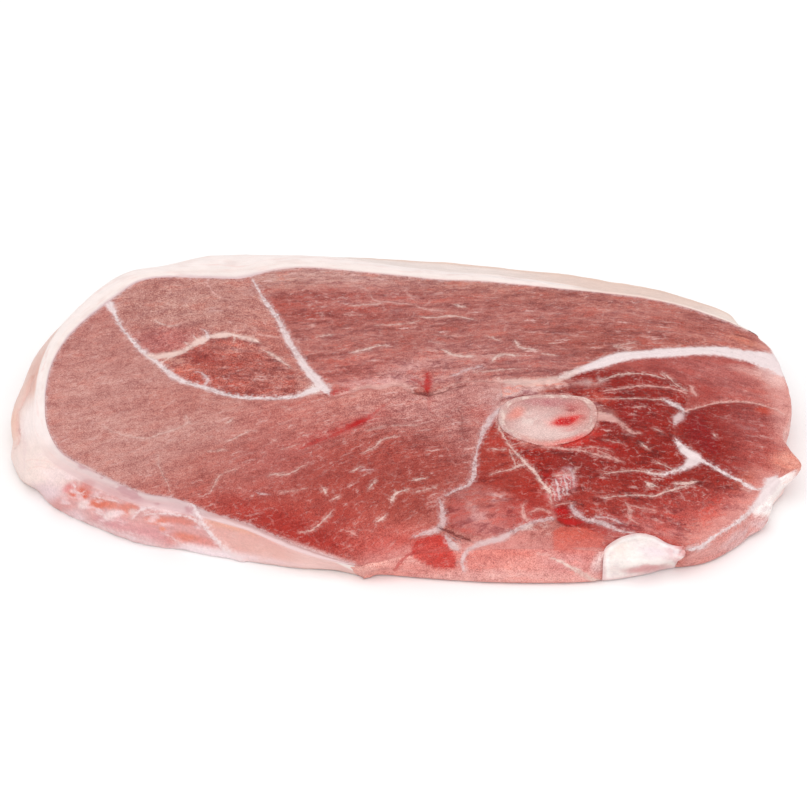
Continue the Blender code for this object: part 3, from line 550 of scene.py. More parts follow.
def fibre_map(spots, X, Y):
    """Coordinates along and across the fibres, by least squares on a coarse
    grid: their slopes follow the directions spread from the spots."""
    step = 3.0
    gx = np.arange(-125, 126, step)
    gy = np.arange(-100, 90, step)
    GX, GY = np.meshgrid(gx, gy)
    s = np.array(spots, float)
    d2 = (GX[..., None] - s[:, 0]) ** 2 + (GY[..., None] - s[:, 1]) ** 2
    w = 1.0 / (d2 + 30.0) ** 2
    th = np.radians(s[:, 2])
    tx, ty = (w * np.cos(th)).sum(-1), (w * np.sin(th)).sum(-1)
    m = np.hypot(tx, ty)
    tx, ty = tx / m, ty / m
    out = []
    for fx, fy in ((tx, ty), (-ty, tx)):
        # gradient of f should be (fx, fy): normal equations by conjugate gradient
        def lap(f):
            r = np.zeros_like(f)
            dx = np.diff(f, axis=1)
            dy = np.diff(f, axis=0)
            r[:, :-1] -= dx
            r[:, 1:] += dx
            r[:-1] -= dy
            r[1:] += dy
            return r
        ex = (fx[:, 1:] + fx[:, :-1]) / 2 * step
        ey = (fy[1:] + fy[:-1]) / 2 * step
        rhs = np.zeros_like(GX)
        rhs[:, :-1] -= ex
        rhs[:, 1:] += ex
        rhs[:-1] -= ey
        rhs[1:] += ey
        f = GX * fx.mean() + GY * fy.mean()
        r = rhs - lap(f)
        p = r.copy()
        rs = (r * r).sum()
        for _ in range(500):
            ap = lap(p)
            al = rs / max((p * ap).sum(), 1e-12)
            f = f + al * p
            r = r - al * ap
            new = (r * r).sum()
            if new < 1e-8:
                break
            p = r + new / rs * p
            rs = new
        f = f - f.mean()
        u = np.clip((X - gx[0]) / step, 0, len(gx) - 1.001)
        v = np.clip((Y - gy[0]) / step, 0, len(gy) - 1.001)
        i, j = np.floor(u).astype(int), np.floor(v).astype(int)
        a, b = u - i, v - j
        out.append((f[j, i] * (1 - a) + f[j, i + 1] * a) * (1 - b)
                   + (f[j + 1, i] * (1 - a) + f[j + 1, i + 1] * a) * b)
    return out


def seam(name):
    return SEAMS[name][0]


MUSCLES = {
    "triangle": [(-90.5, 46), *seam("A")[1:], *seam("B")[::-1], (-47, 70), (-95, 70)],
    "lens": [*seam("C"), *seam("C2"), (-30.5, 5.0), (-31.0, -3.9), *seam("A")[17:7:-1]],
    "upper": [*seam("B"), (-16, -2.5), *seam("E")[1:], (6.5, -2.2), (9.5, -1.8), *seam("E2")[1:],
              (34.1, 2.6), (38.5, 2.6), (43.0, 3.6), *seam("D")[1:], (125, 40), (60, 90), (-60, 90)],
    "under": [(60.4, 9.7), *seam("D")[3:], (122, -6), (113.5, -11.0), *seam("N")[::-1], (86.1, 2.4), (80, 7.0), (72, 9.6)],
    "end": [*seam("N"), (119, -14), (121, -40), (106, -41.5), *seam("L")[::-1], (79.7, -17.0), (83.2, -10.5)],
    "small": [(27.2, -14.0), *seam("G")[3:10], (17.4, -46.4), (14.0, -50), (11.5, -56), (12.5, -61), (18.0, -64.5), (26.0, -66.0),
              *seam("I")[4::-1], (42.1, -46.9), *seam("H")[::-1]],
    "bright": [(2.8, -66.8), (5.6, -64.6), (9.4, -63.4), (12.4, -64.6), (13.6, -67.5), (14.9, -71.0),
               (15.4, -76.4), (14.8, -79.8), (11.0, -79.3), (6.9, -76.3), (3.3, -71.9)],
    "orange": [(42.4, -64.2), (44.5, -61.9), (48.7, -62.0), (52.7, -63.4), (56.6, -65.4), (55.1, -70.6),
               (49.6, -71.1), (45.4, -72.0), (42.1, -72.5)],
    "right": [(30.3, 3.0), (34.1, 1.6), (38.5, 1.7), (43.0, 3.3), *seam("D")[:5], (72, 9.6), (80, 7.0), (86.1, 2.4), (83.2, -10.5), (79.7, -17.0),
              *seam("L"), (108, -42), (96, -62), (80, -74), (56, -72), (44, -60), (42.1, -46.9), *seam("H")[::-1]],
}

# tones on the sawn face: middle, half sizes, turn, softness, colour, strength
TONES = {
    "middle": [
        # the broad pale tone of the left end: the muscle's own paler colour with a painted sheen of broad soft
        # reflection
        (-75, -5, 34, 48, 0, 0.5, (196, 138, 130), 1.0),
        (-86, 22, 14, 12, 40, 0.6, (190, 128, 120), 0.8),
        (-62, -6, 16, 10, 10, 0.6, (190, 123, 114), 0.8),
        (-48, -40, 18, 12, 20, 0.7, (186, 112, 103), 0.9),
        (-52, -55, 22, 8, -12, 0.7, (182, 102, 94), 0.9),
        (-35, -58, 16, 12, -12, 0.7, (180, 84, 76), 0.8),
        (-30, -36, 18, 14, 25, 0.8, (182, 102, 96), 0.9),
        (-16, -4, 22, 8, 4, 0.6, (202, 132, 123), 0.9),
        (-32, -14, 16, 9, 20, 0.7, (192, 116, 108), 0.8),
        (8, -10, 18, 10, 15, 0.7, (196, 131, 125), 0.9),
        (22, -4, 10, 8, 40, 0.7, (198, 136, 130), 0.8),
        (12, -24, 12, 9, 0, 0.7, (180, 116, 110), 0.8),
        (8, -36, 14, 10, 0, 0.7, (160, 78, 72), 0.9),
        (-10, -32, 18, 10, 25, 0.7, (170, 84, 77), 0.9),
        (-14, -50, 20, 12, 25, 0.7, (170, 81, 74), 0.9),
        (4, -50, 12, 10, 30, 0.7, (164, 79, 71), 0.9),
        (-20, -60, 16, 7, -8, 0.6, (186, 88, 80), 0.8),
        (-30, -62, 22, 5, -16, 0.8, (166, 58, 54), 0.8),
        (-2, -66, 12, 6, 10, 0.6, (200, 100, 92), 0.8),
        (18, -20, 4, 14, 0, 0.6, (176, 106, 101), 0.6),
        (26, -12, 5, 4, 0, 0.7, (178, 84, 78), 0.5),
        (16, -52, 7, 5, 0, 0.7, (178, 104, 98), 0.7),
    ],
    "upper": [
        (0, 58, 60, 5, -2, 0.7, (192, 138, 128), 0.75),
        (-22, 58.0, 26, 5.5, -3, 0.7, (208, 160, 153), 0.9),
        (-30, 55, 20, 6, 0, 0.7, (188, 132, 122), 0.6),
        (-22, 44, 22, 10, 0, 0.6, (172, 92, 85), 0.8),
        (-8, 50, 18, 8, 0, 0.7, (180, 112, 106), 0.6),
        (-12, 8, 18, 8, 14, 0.7, (188, 112, 105), 0.9),
        (18, 12, 16, 9, 12, 0.7, (192, 128, 122), 0.8),
        (4, 8, 10, 6, 20, 0.7, (204, 142, 136), 0.7),
        (62, 22, 20, 12, -5, 0.7, (166, 94, 86), 0.8),
        (86, 28, 14, 10, -25, 0.7, (180, 106, 97), 0.8),
        (103, 24, 9, 8, -30, 0.7, (196, 122, 112), 0.8),
        (40, 12, 14, 7, 10, 0.7, (178, 112, 107), 0.7),
        (40, 50, 40, 5, -8, 0.7, (186, 118, 108), 0.6),
    ],
    "triangle": [
        (-62, 44, 26, 14, 0, 0.6, (191, 134, 125), 1.0),
        (-42, 42, 10, 16, -20, 0.7, (190, 126, 117), 0.8),
        (-36, 18, 8, 16, -20, 0.7, (184, 112, 103), 0.8),
        (-72, 24, 10, 7, 20, 0.7, (184, 108, 104), 0.8),
    ],
    "lens": [
        (-52, 14, 26, 10, -10, 0.6, (173, 93, 85), 1.0),
        (-52, 20, 9, 4, 0, 0.7, (198, 128, 118), 0.7),
        (-38, 6, 8, 8, -20, 0.7, (178, 106, 98), 0.8),
        (-60, 16, 6, 5, 0, 0.7, (166, 74, 68), 0.7),
        (-64, 10, 6, 4, 0, 0.7, (194, 108, 96), 0.6),
    ],
    "right": [
        (60, 2, 24, 9, 12, 0.6, (156, 68, 63), 0.9),
        (64, -12, 14, 10, 0, 0.6, (152, 62, 56), 0.8),
        (74, -24, 12, 12, -30, 0.7, (156, 66, 60), 0.8),
        (52, -38, 18, 8, -10, 0.7, (152, 72, 68), 0.8),
        (70, -44, 18, 8, 0, 0.7, (158, 68, 62), 0.8),
        (56, -50, 8, 6, 0, 0.7, (178, 90, 82), 0.7),
        (78, -56, 20, 8, 20, 0.7, (180, 96, 90), 0.8),
        (74, -62, 20, 6, 14, 0.7, (200, 112, 105), 0.8),
        (90, -56, 20, 5, 42, 0.8, (208, 124, 116), 0.8),
        (62, -62, 8, 4, -10, 0.7, (188, 112, 108), 0.6),
        (38, -32, 6, 5, -30, 0.7, (178, 66, 58), 0.7),
        (42, -44, 5, 6, 0, 0.7, (172, 58, 52), 0.7),
    ],
    "under": [
        (84, 12, 12, 8, -10, 0.6, (168, 84, 79), 0.9),
        (98, 6, 14, 10, -30, 0.6, (184, 106, 101), 0.9),
        (111, -2, 7, 12, 0, 0.7, (192, 116, 109), 0.8),
        (88, 0, 8, 5, 0, 0.7, (164, 74, 69), 0.7),
    ],
    "end": [
        (93, -12, 13, 9, -10, 0.7, (138, 46, 42), 0.75),
        (92, -14, 14, 9, 0, 0.6, (146, 52, 48), 0.9),
        (90, -26, 12, 9, -30, 0.7, (140, 46, 42), 0.9),
        (104, -16, 10, 9, 0, 0.7, (172, 92, 88), 0.7),
        (106, -32, 10, 7, -30, 0.7, (180, 92, 86), 0.9),
        (115, -34, 7, 5, 10, 0.8, (216, 142, 128), 0.85),
        (112, -20, 5, 8, 0, 0.7, (186, 100, 93), 0.7),
    ],
    "small": [
        (29, -24, 5, 8, 0, 0.6, (172, 74, 66), 0.8),
        (30, -44, 8, 10, 0, 0.6, (162, 68, 61), 0.9),
        (22, -54, 8, 8, 0, 0.6, (184, 108, 102), 0.8),
        (24, -62, 8, 5, -10, 0.7, (198, 124, 120), 0.8),
        (34, -56, 6, 5, 0, 0.7, (190, 96, 92), 0.7),
        (38, -48, 5, 7, 0, 0.7, (168, 60, 54), 0.7),
        (18, -47, 5, 3, 0, 0.7, (178, 116, 112), 0.7),
    ],
}
BASES = {"middle": (190, 116, 108), "upper": (177, 108, 101), "triangle": (188, 124, 116), "lens": (174, 92, 84),
         "right": (160, 70, 64), "under": (172, 88, 82), "end": (164, 76, 72), "small": (168, 72, 64),
         "bright": (198, 72, 66), "orange": (206, 100, 88)}
# white flecks (the finest also painted glints), streaks, grain: how strongly each muscle shows them
GRAINS = {"middle": (0.68, 0.42, 0.88), "upper": (0.85, 1.15, 0.65), "triangle": (0.75, 0.35, 1.35), "lens": (0.95, 0.35, 2.0),
          "right": (0.86, 0.52, 0.85), "under": (0.35, 0.3, 0.7), "end": (0.5, 0.3, 0.95), "small": (0.36, 0.2, 0.6),
          "bright": (0.5, 0.3, 0.8), "orange": (0.35, 0.3, 0.6)}
FIBRE_OF = {"middle": "middle", "upper": "upper", "triangle": "triangle", "lens": "triangle", "right": "right",
            "under": "right", "end": "right", "small": "right", "bright": "right", "orange": "right"}


# the front right corner of the face, for the haze along its edge
HAZE = [(70, -80), (79.9, -70.7), (86.4, -66.0), (93.9, -59.6), (99.7, -52.5), (104.4, -45.4), (108, -40), (90, -20), (60, -40)]
# how blotchy each muscle is
BLOTCH = {"middle": 0.26, "upper": 0.75, "triangle": 0.45, "lens": 0.9, "right": 1.0, "under": 0.5, "end": 0.5,
          "small": 0.9, "bright": 0.5, "orange": 0.4}


def sawn_face(X, Y):
    """Everything painted on the sawn face at raw points X, Y."""
    n = len(X)
    wx = X + 0.5 * fbm(X, Y, 5.0, 5)
    wy = Y + 0.5 * fbm(X, Y, 5.0, 6)
    col = np.zeros((n, 3))
    tex = np.zeros((n, 3))
    fib = np.zeros((n, 2))
    blot = np.full(n, BLOTCH["middle"])
    maps = {k: fibre_map(v, X, Y) for k, v in FIBRES.items()}
    order = ["middle", "upper", "triangle", "lens", "right", "under", "end", "small", "bright", "orange"]
    hard = np.zeros(n, int)
    for i, name in enumerate(order):
        c = np.tile(srgb(BASES[name]), (n, 1))
        for cx, cy, rx, ry, turn, soft, ink, k in TONES.get(name, []):
            w = blob(wx, wy, cx, cy, rx, ry, turn, soft)[:, None] * k
            c = c + (srgb(ink) - c) * w
        if i == 0:
            col, tex = c, np.tile(GRAINS[name], (n, 1))
            continue
        d = inside(wx, wy, MUSCLES[name])
        m = ease(-0.35, 0.35, d)[:, None]
        if name == "right":
            c = c * np.array([0.90, 0.68, 0.68])
        col = col + (c - col) * m
        tex = tex + (np.array(GRAINS[name]) - tex) * m
        blot = blot + (BLOTCH[name] - blot) * m[:, 0]
        hard[d > 0] = i
    for i, name in enumerate(order):
        at = hard == i
        a, b = maps[FIBRE_OF[name]]
        fib[at, 0], fib[at, 1] = a[at], b[at]
    # broken tissue: over the femur, beside it, the vessel, the net of fat at the front
    extra = [
        (40, 0.4, 11, 3.6, 10, 0.5, (230, 184, 176), 0.9, 1),      # over the femur
        (31.0, -0.6, 4.4, 4.6, 0, 0.7, (198, 140, 134), 0.85, 0),
        (33.5, -1.0, 4, 2.4, 20, 0.6, (214, 172, 168), 0.8, 1),
        (113.2, 11.0, 5.0, 6.6, -16, 0.8, (244, 216, 210), 0.85, 0),
        (45.5, -1.2, 4.5, 1.0, 14, 0.5, (148, 56, 48), 0.8, 0),       # dark wedge on its upper side
        (27.6, -7.5, 3.2, 6.0, 20, 0.6, (200, 150, 146), 0.8, 1),    # left of the femur
        (55.4, 1.4, 4.5, 2.0, 22, 0.6, (196, 136, 128), 0.7, 1),
        (58.5, -4.5, 4.0, 2.6, -30, 0.7, (206, 104, 92), 0.6, 1),
        (57.6, 3.6, 4.6, 2.0, 18, 0.6, (206, 178, 174), 0.45, 2),
        (47.0, -43.0, 2.4, 4.2, 20, 0.5, (214, 120, 118), 0.8, 1),  # vessel
        (43.6, -47.6, 2.4, 4.8, -16, 0.5, (222, 130, 128), 0.8, 1),
        (47.6, -39.2, 1.6, 2.0, -20, 0.6, (214, 184, 192), 0.8, 1),
        (45.2, -55.2, 2.8, 1.6, 0, 0.6, (178, 44, 48), 0.9, 0),
        (52.0, -26.2, 6.0, 1.8, 30, 0.6, (204, 66, 60), 0.65, 0),     # blood under the femur
        (57.6, -22.0, 2.0, 3.4, -20, 0.7, (190, 72, 66), 0.35, 0),
        (59.0, -28.0, 5.0, 2.4, -10, 0.7, (190, 58, 54), 0.5, 1),
        (36.6, -28.2, 5, 1.2, -12, 0.6, (216, 156, 146), 0.6, 1),
        (59.8, -12.6, 3.0, 2.4, -10, 0.7, (226, 186, 176), 0.75, 1),
        (33, -66.6, 8, 4.0, 8, 0.5, (216, 142, 134), 0.9, 2),      # net of fat at the front
        (24, -71.6, 7, 3.4, -6, 0.5, (226, 136, 120), 0.7, 1),
        (37, -61.6, 4, 1.6, 8, 0.5, (222, 190, 184), 0.85, 2),
        (24.5, -58.0, 4.6, 3.6, 0, 0.6, (212, 128, 122), 0.6, 2),
        (26.5, -49.5, 2.2, 2.2, -10, 0.6, (210, 156, 152), 0.6, 2),
        (17, -57, 3.0, 5.0, 10, 0.6, (186, 104, 100), 0.6, 0),
        (2.5, 7.0, 5, 4, 20, 0.7, (214, 160, 156), 0.5, 1),          # pale tissue at the blood spot
        (10.5, 4.5, 3.5, 3.5, 0, 0.7, (206, 136, 132), 0.5, 1),
        (-68.5, 13.5, 4.6, 2.2, 10, 0.5, (206, 148, 136), 0.7, 1),   # orange tissue under C
        (-24.5, 0.0, 3.0, 2.6, 0, 0.6, (236, 214, 208), 0.8, 1),      # where A and B meet
        (-46.6, 52.5, 3.0, 3.2, 0, 0.8, (186, 138, 134), 0.4, 0),
        (80.5, -63.5, 5.0, 2.4, 40, 0.8, (208, 122, 108), 0.6, 1),
        (73.5, -63.4, 7.5, 2.4, -24, 0.7, (212, 136, 130), 0.65, 1),
        (58.5, -66.6, 4.5, 2.0, 30, 0.7, (204, 132, 126), 0.5, 1),
        (98.5, -41.5, 5.0, 2.6, 45, 0.8, (208, 116, 98), 0.5, 0),     # orange by the front right corner
        (113.0, -34.0, 5.5, 5.0, 0, 0.7, (230, 156, 140), 0.8, 0),
        (107.5, -9.4, 3.0, 2.2, 0, 0.7, (200, 84, 66), 0.6, 0),
        (106, 25.5, 6.0, 2.2, -34, 0.7, (204, 124, 102), 0.45, 0),
        (106.0, 9.0, 7.0, 2.2, -28, 0.7, (226, 168, 160), 0.6, 0),
        (114.2, 6.4, 3.6, 4.4, 0, 0.7, (252, 232, 226), 0.9, 0),
        (-16.8, -57.2, 5.5, 3.2, 30, 0.7, (164, 64, 58), 0.5, 0),
        (40.5, 0.2, 6.0, 1.5, 4, 0.6, (228, 184, 176), 0.7, 1),
        (52.2, 0.2, 3.2, 1.5, 10, 0.6, (150, 58, 54), 0.6, 0),
        (48.5, -36.5, 5.5, 3.2, -10, 0.7, (144, 62, 58), 0.5, 0),
        (58.3, -63.3, 4.4, 2.0, 20, 0.7, (176, 86, 82), 0.75, 0),
        (-4.0, -66.0, 6.5, 2.6, 8, 0.7, (194, 80, 74), 0.4, 0),
        (-7.5, 2.6, 10.0, 2.4, 6, 0.6, (216, 160, 158), 0.5, 1),     # pale tissue along the fold
        (-18.0, -1.4, 3.6, 1.0, 14, 0.6, (176, 54, 58), 0.85, 1),
        (-16.0, -20.0, 13.0, 2.8, 31, 0.7, (186, 72, 70), 0.55, 1),   # bruise along the blood streak
        (-12.0, -17.8, 3.6, 1.3, 34, 0.5, (172, 38, 42), 0.75, 0),
        (-14.0, -46.0, 24, 12, 20, 0.8, (158, 72, 64), 0.32, 0),
        (19.9, -53.6, 1.8, 2.4, 0, 0.6, (206, 158, 154), 0.55, 2),    # broken fat between the front muscles
        (27.3, -50.0, 3.6, 1.5, 10, 0.6, (216, 170, 166), 0.75, 2),
        (22.4, -57.7, 3.2, 2.0, 0, 0.6, (212, 160, 156), 0.65, 2),
        (15.2, -69.6, 1.3, 1.7, 0, 0.5, (228, 212, 206), 0.85, 0),
        (31.6, -3.8, 3.8, 1.8, 24, 0.6, (218, 182, 178), 0.8, 1),    # rim of pale tissue on the femur's upper left, also painted light over the shaded arc along the femur's edge
        (37.4, -2.0, 4.6, 1.5, 12, 0.6, (216, 170, 165), 0.8, 0),
        (-10.5, -0.6, 2.4, 0.8, 10, 0.6, (180, 64, 66), 0.5, 1),
        (-22.5, -68.8, 9.5, 1.1, -17, 0.6, (228, 184, 180), 0.7, 0),  # pale edge beside the peach wedge
    ]
    net = np.zeros(n)
    for cx, cy, rx, ry, turn, soft, ink, k, kind in extra:
        w = blob(wx, wy, cx, cy, rx, ry, turn, soft) * k
        if kind:
            speck = 0.5 + 0.5 * fbm(X, Y, 1.6, 40 + kind, 2)
            w = w * ease(0.34, 0.60, speck) if kind == 2 else w * (0.35 + 0.65 * ease(0.34, 0.6, speck))
        col = col + (srgb(ink) - col) * w[:, None]
        net = np.maximum(net, w)
    tex = tex * (1 - 0.5 * net[:, None])
    # the middle of the slice is rougher than its left end
    rough = blob(wx, wy, 6, -16, 28, 20, 8, 0.6)
    tex = tex * (1 + rough[:, None] * np.array([0.35, 0.7, 0.5]))
    blot = blot * (1 + 0.3 * rough)
    # toward the bare front edge the face takes on the paler tone of the wall
    f = ease(-64.0, -71.5, Y + 2.4 * fbm(X, Y, 3.2, 77)) * ease(-16, -4, X) * ease(60, 53, X)
    f = f * (1 - 0.8 * ease(-0.5, 0.5, inside(wx, wy, MUSCLES["bright"]))) * (1 - 0.6 * ease(-0.5, 0.5, inside(wx, wy, MUSCLES["orange"])))
    col = col + (srgb((222, 148, 142)) - col) * (0.72 * f)[:, None]
    calm = 0.55 * f
    # pale haze inside the front right edge and along the right end
    h = ease(7.5, 0.8, np.abs(inside(X, Y, HAZE) - 1.0)) * ease(74, 84, X) * ease(-34, -42, Y)
    col = col + (srgb((222, 152, 144)) - col) * (0.85 * h)[:, None]
    calm = np.maximum(calm, 0.8 * h)
    h = ease(106.5, 112.5, X + 1.2 * fbm(X, Y, 4.0, 78)) * ease(-30, -24, Y)
    col = col + (srgb((226, 163, 155)) - col) * (0.7 * h)[:, None]
    calm = np.maximum(calm, 0.6 * h)
    # smoother there too: short soft fibres, few blotches
    tex = tex * (1 - calm[:, None] * np.array([0.75, 0.3, 0.70]))
    blot = blot * (1 - 0.8 * calm)
    return col, tex, np.column_stack([fib, blot]), maps


def all_lines():
    g = [[], [], []]
    for pts, widths, ink, k, group, groove in SEAMS.values():
        g[group].append((pts, widths, ink, k, groove))
    for pts, w, ink, k in FLECKS:
        g[2].append((pts, (0.2 * w, 0.75 * w, 0.6 * w, 0.9 * w, 0.5 * w, 0.7 * w, 0.15 * w), ink, k, 0.0))
    return g


LINES = all_lines()


def seam_fields(X, Y, room=1.1):
    fields = [line_field(X, Y, g, room) for g in LINES]
    inks = np.array([srgb(c) for c in INKS])
    return fields, inks


# where the side walls are unwrapped from: a fixed point in front of and above
# the slice, so that seams run on over the rim without a break
EYE = np.array([1.0, 12.0 - 800 * math.cos(math.radians(36)), 800 * math.sin(math.radians(36))])


def unwrap(P):
    """Where the line from EYE through each point meets the plane of the face."""
    d = P - EYE
    z = P[:, 2].copy()
    Q = P.copy()
    for _ in range(30):
        t = (z - EYE[2]) / d[:, 2]
        Q = EYE + d * t[:, None]
        z = 0.5 * z + 0.5 * face_height(Q[:, 0], Q[:, 1])
    return Q[:, 0], Q[:, 1]


# ---------------------------------------------------------------------------
# mesh helpers
# ---------------------------------------------------------------------------
def make_mesh(name, verts, tris, attrs, uvs=None, smooth_angle=None):
    """verts raw mm, tris (n, 3) or quads as a list; attrs name -> array."""
    v = np.asarray(verts, float).copy()
    v[:, 0] -= SHIFT[0]
    v[:, 1] -= SHIFT[1]
    v *= MM
    tris = np.asarray(tris, np.int64)
    me = bpy.data.meshes.new(name)
    k = tris.shape[1]
    me.vertices.add(len(v))
    me.vertices.foreach_set("co", v.astype(np.float32).ravel())
    me.loops.add(tris.size)
    me.loops.foreach_set("vertex_index", tris.ravel().astype(np.int32))
    me.polygons.add(len(tris))
    me.polygons.foreach_set("loop_start", (np.arange(len(tris)) * k).astype(np.int32))
    me.update(calc_edges=True)
    me.polygons.foreach_set("use_smooth", np.ones(len(tris), bool))
    for an, arr in attrs.items():
        arr = np.asarray(arr, np.float32)
        if arr.ndim == 1:
            a = me.attributes.new(an, "FLOAT", "POINT")
            a.data.foreach_set("value", arr)
        elif an.startswith("c_"):
            a = me.attributes.new(an, "FLOAT_COLOR", "POINT")
            a.data.foreach_set("color", np.column_stack([arr, np.ones(len(arr), np.float32)]).astype(np.float32).ravel())
        else:
            a = me.attributes.new(an, "FLOAT_VECTOR", "POINT")
            a.data.foreach_set("vector", arr.ravel())
    if uvs is not None:
        layer = me.uv_layers.new(name="OFBake")
        layer.data.foreach_set("uv", np.asarray(uvs, np.float32).ravel())
    me.validate(clean_customdata=False)
    ob = bpy.data.objects.new(name, me)
    bpy.context.scene.collection.objects.link(ob)
    if smooth_angle:
        me.set_sharp_from_angle(angle=math.radians(smooth_angle))
    return ob


def triangulate(points, loops, keep):
    """Constrained triangles over points; loops are lists of point indices."""
    edges = []
    for lp in loops:
        edges += [(lp[i], lp[(i + 1) % len(lp)]) for i in range(len(lp))]
    pts = [Vector((float(x), float(y))) for x, y in points]
    v, e, f, ov, oe, of = delaunay_2d_cdt(pts, edges, [], 0, 1e-7)
    if len(v) != len(points):
        raise RuntimeError("the triangulation merged or added points: %d -> %d" % (len(points), len(v)))
    first = np.array([o[0] for o in ov])
    t = first[np.array(f)]
    c = np.asarray(points)[t].mean(axis=1)
    t = t[keep(c[:, 0], c[:, 1])]
    p = np.asarray(points)[t]
    area = (p[:, 1, 0] - p[:, 0, 0]) * (p[:, 2, 1] - p[:, 0, 1]) - (p[:, 2, 0] - p[:, 0, 0]) * (p[:, 1, 1] - p[:, 0, 1])
    t[area < 0] = t[area < 0][:, ::-1]
    return t


def hexes(lo, hi, step):
    row = step * math.sqrt(3) / 2
    ys = np.arange(lo[1], hi[1], row)
    out = []
    for i, y in enumerate(ys):
        xs = np.arange(lo[0] + (step / 2 if i % 2 else 0), hi[0], step)
        out.append(np.column_stack([xs, np.full(len(xs), y)]))
    p = np.vstack(out)
    return p + step * 0.12 * np.column_stack([hashed(np.arange(len(p)), np.zeros(len(p)), 3),
                                              hashed(np.arange(len(p)), np.zeros(len(p)), 4)])


# ---------------------------------------------------------------------------
# the lean
# ---------------------------------------------------------------------------
def lean_columns():
    """The lean's outline with the pad's notch: x, y, normal, swell, cover,
    run-in and rim inset, as closely spaced columns."""
    fat = [(r[0], r[1], 0.0, 1.0, r[5]) for r in FAT_RIBS]
    bare = [(r[0], r[1], r[2], 0.0, 0.0) for r in LEAN_RIBS]
    base = resample(spline(fat + bare, True), LEAN_SIDES, True)
    o = resample(spline(base, True, 8), 860, True)
    nrm = outward(o[:, :2], True)
    for _ in range(4):
        m = (np.roll(nrm, 1, 0) + 2 * nrm + np.roll(nrm, -1, 0)) / 4
        nrm = m / np.hypot(m[:, 0], m[:, 1])[:, None]
    cover = (o[:, 3] > 0.5).astype(float)
    # bare stretches keep the solid's line; under the fat the flesh runs on to meet it
    xy = o[:, :2] + nrm * np.where(cover > 0.5, 0.42, -GAP / 2)[:, None]
    cols = np.column_stack([xy, o[:, 2], cover, o[:, 4]])
    back = resample(spline(PAD_BACK, False), 60, False)
    bn = outward(back, False)
    back = back[:, :2] + bn * 0.25
    i0 = np.hypot(*(cols[:, :2] - back[0]).T).argmin()
    i1 = np.hypot(*(cols[:, :2] - back[-1]).T).argmin()
    # start the loop at the pad so that the notch is one run of columns
    cols = np.roll(cols, -i1, axis=0)
    i0 = (i0 - i1) % len(cols)
    keep = cols[:i0 + 1]
    run = np.r_[0, np.cumsum(np.hypot(*np.diff(back, axis=0).T))]
    # low down, the ends of the notch draw in with the walls beside them
    # how far the notch lies behind the outer wall, and which way that wall faces
    near = [int(np.hypot(*(xy - q).T).argmin()) for q in back]
    way = nrm[near]
    reach = ((xy[near] - back) * way).sum(axis=1)
    swell = o[near, 2]
    for _ in range(6):
        way[1:-1] = (way[:-2] + 2 * way[1:-1] + way[2:]) / 4
        swell[1:-1] = (swell[:-2] + 2 * swell[1:-1] + swell[2:]) / 4
        reach[1:-1] = (reach[:-2] + 2 * reach[1:-1] + reach[2:]) / 4
    notch = np.column_stack([back, swell, np.full(len(back), 2.0), np.zeros(len(back)), way, reach, np.ones(len(back))])
    keep = np.column_stack([keep, np.zeros((len(keep), 4))])
    cols = np.vstack([keep[2:-2], notch[1:-1]])
    cols = resample(np.vstack([cols]), 880, True)
    # a column belongs to the notch or to the wall, with nothing in between
    cols[:, 3] = np.where(cols[:, 8] > 0.5, 2.0, np.where(cols[:, 8] > 0.01, 0.0, np.round(cols[:, 3])))
    nrm = outward(cols[:, :2], True)
    return cols, nrm


def wall_offset(share, f):
    """How far a bare wall stands out from the outline at a share of height."""
    at = [0.0, 0.03, 0.07, 0.15, 0.28, 0.45, 0.60, 0.75, 0.88, 0.94, 0.975, 0.992, 1.0]
    off = [f - 1.3, f - 0.7, f - 0.35, f - 0.1, f, 0.75 * f + 0.2, 0.45 * f + 0.35, 0.2 * f + 0.25,
           0.05 * f - 0.05, -0.20, -0.48, -0.80, -EDGE]
    o = np.array([np.broadcast_to(v, f.shape) for v in off])
    k = min(int(np.searchsorted(at, share, side="right")) - 1, len(at) - 2)
    t = (share - at[k]) / (at[k + 1] - at[k])
    return o[k] * (1 - t) + o[k + 1] * t


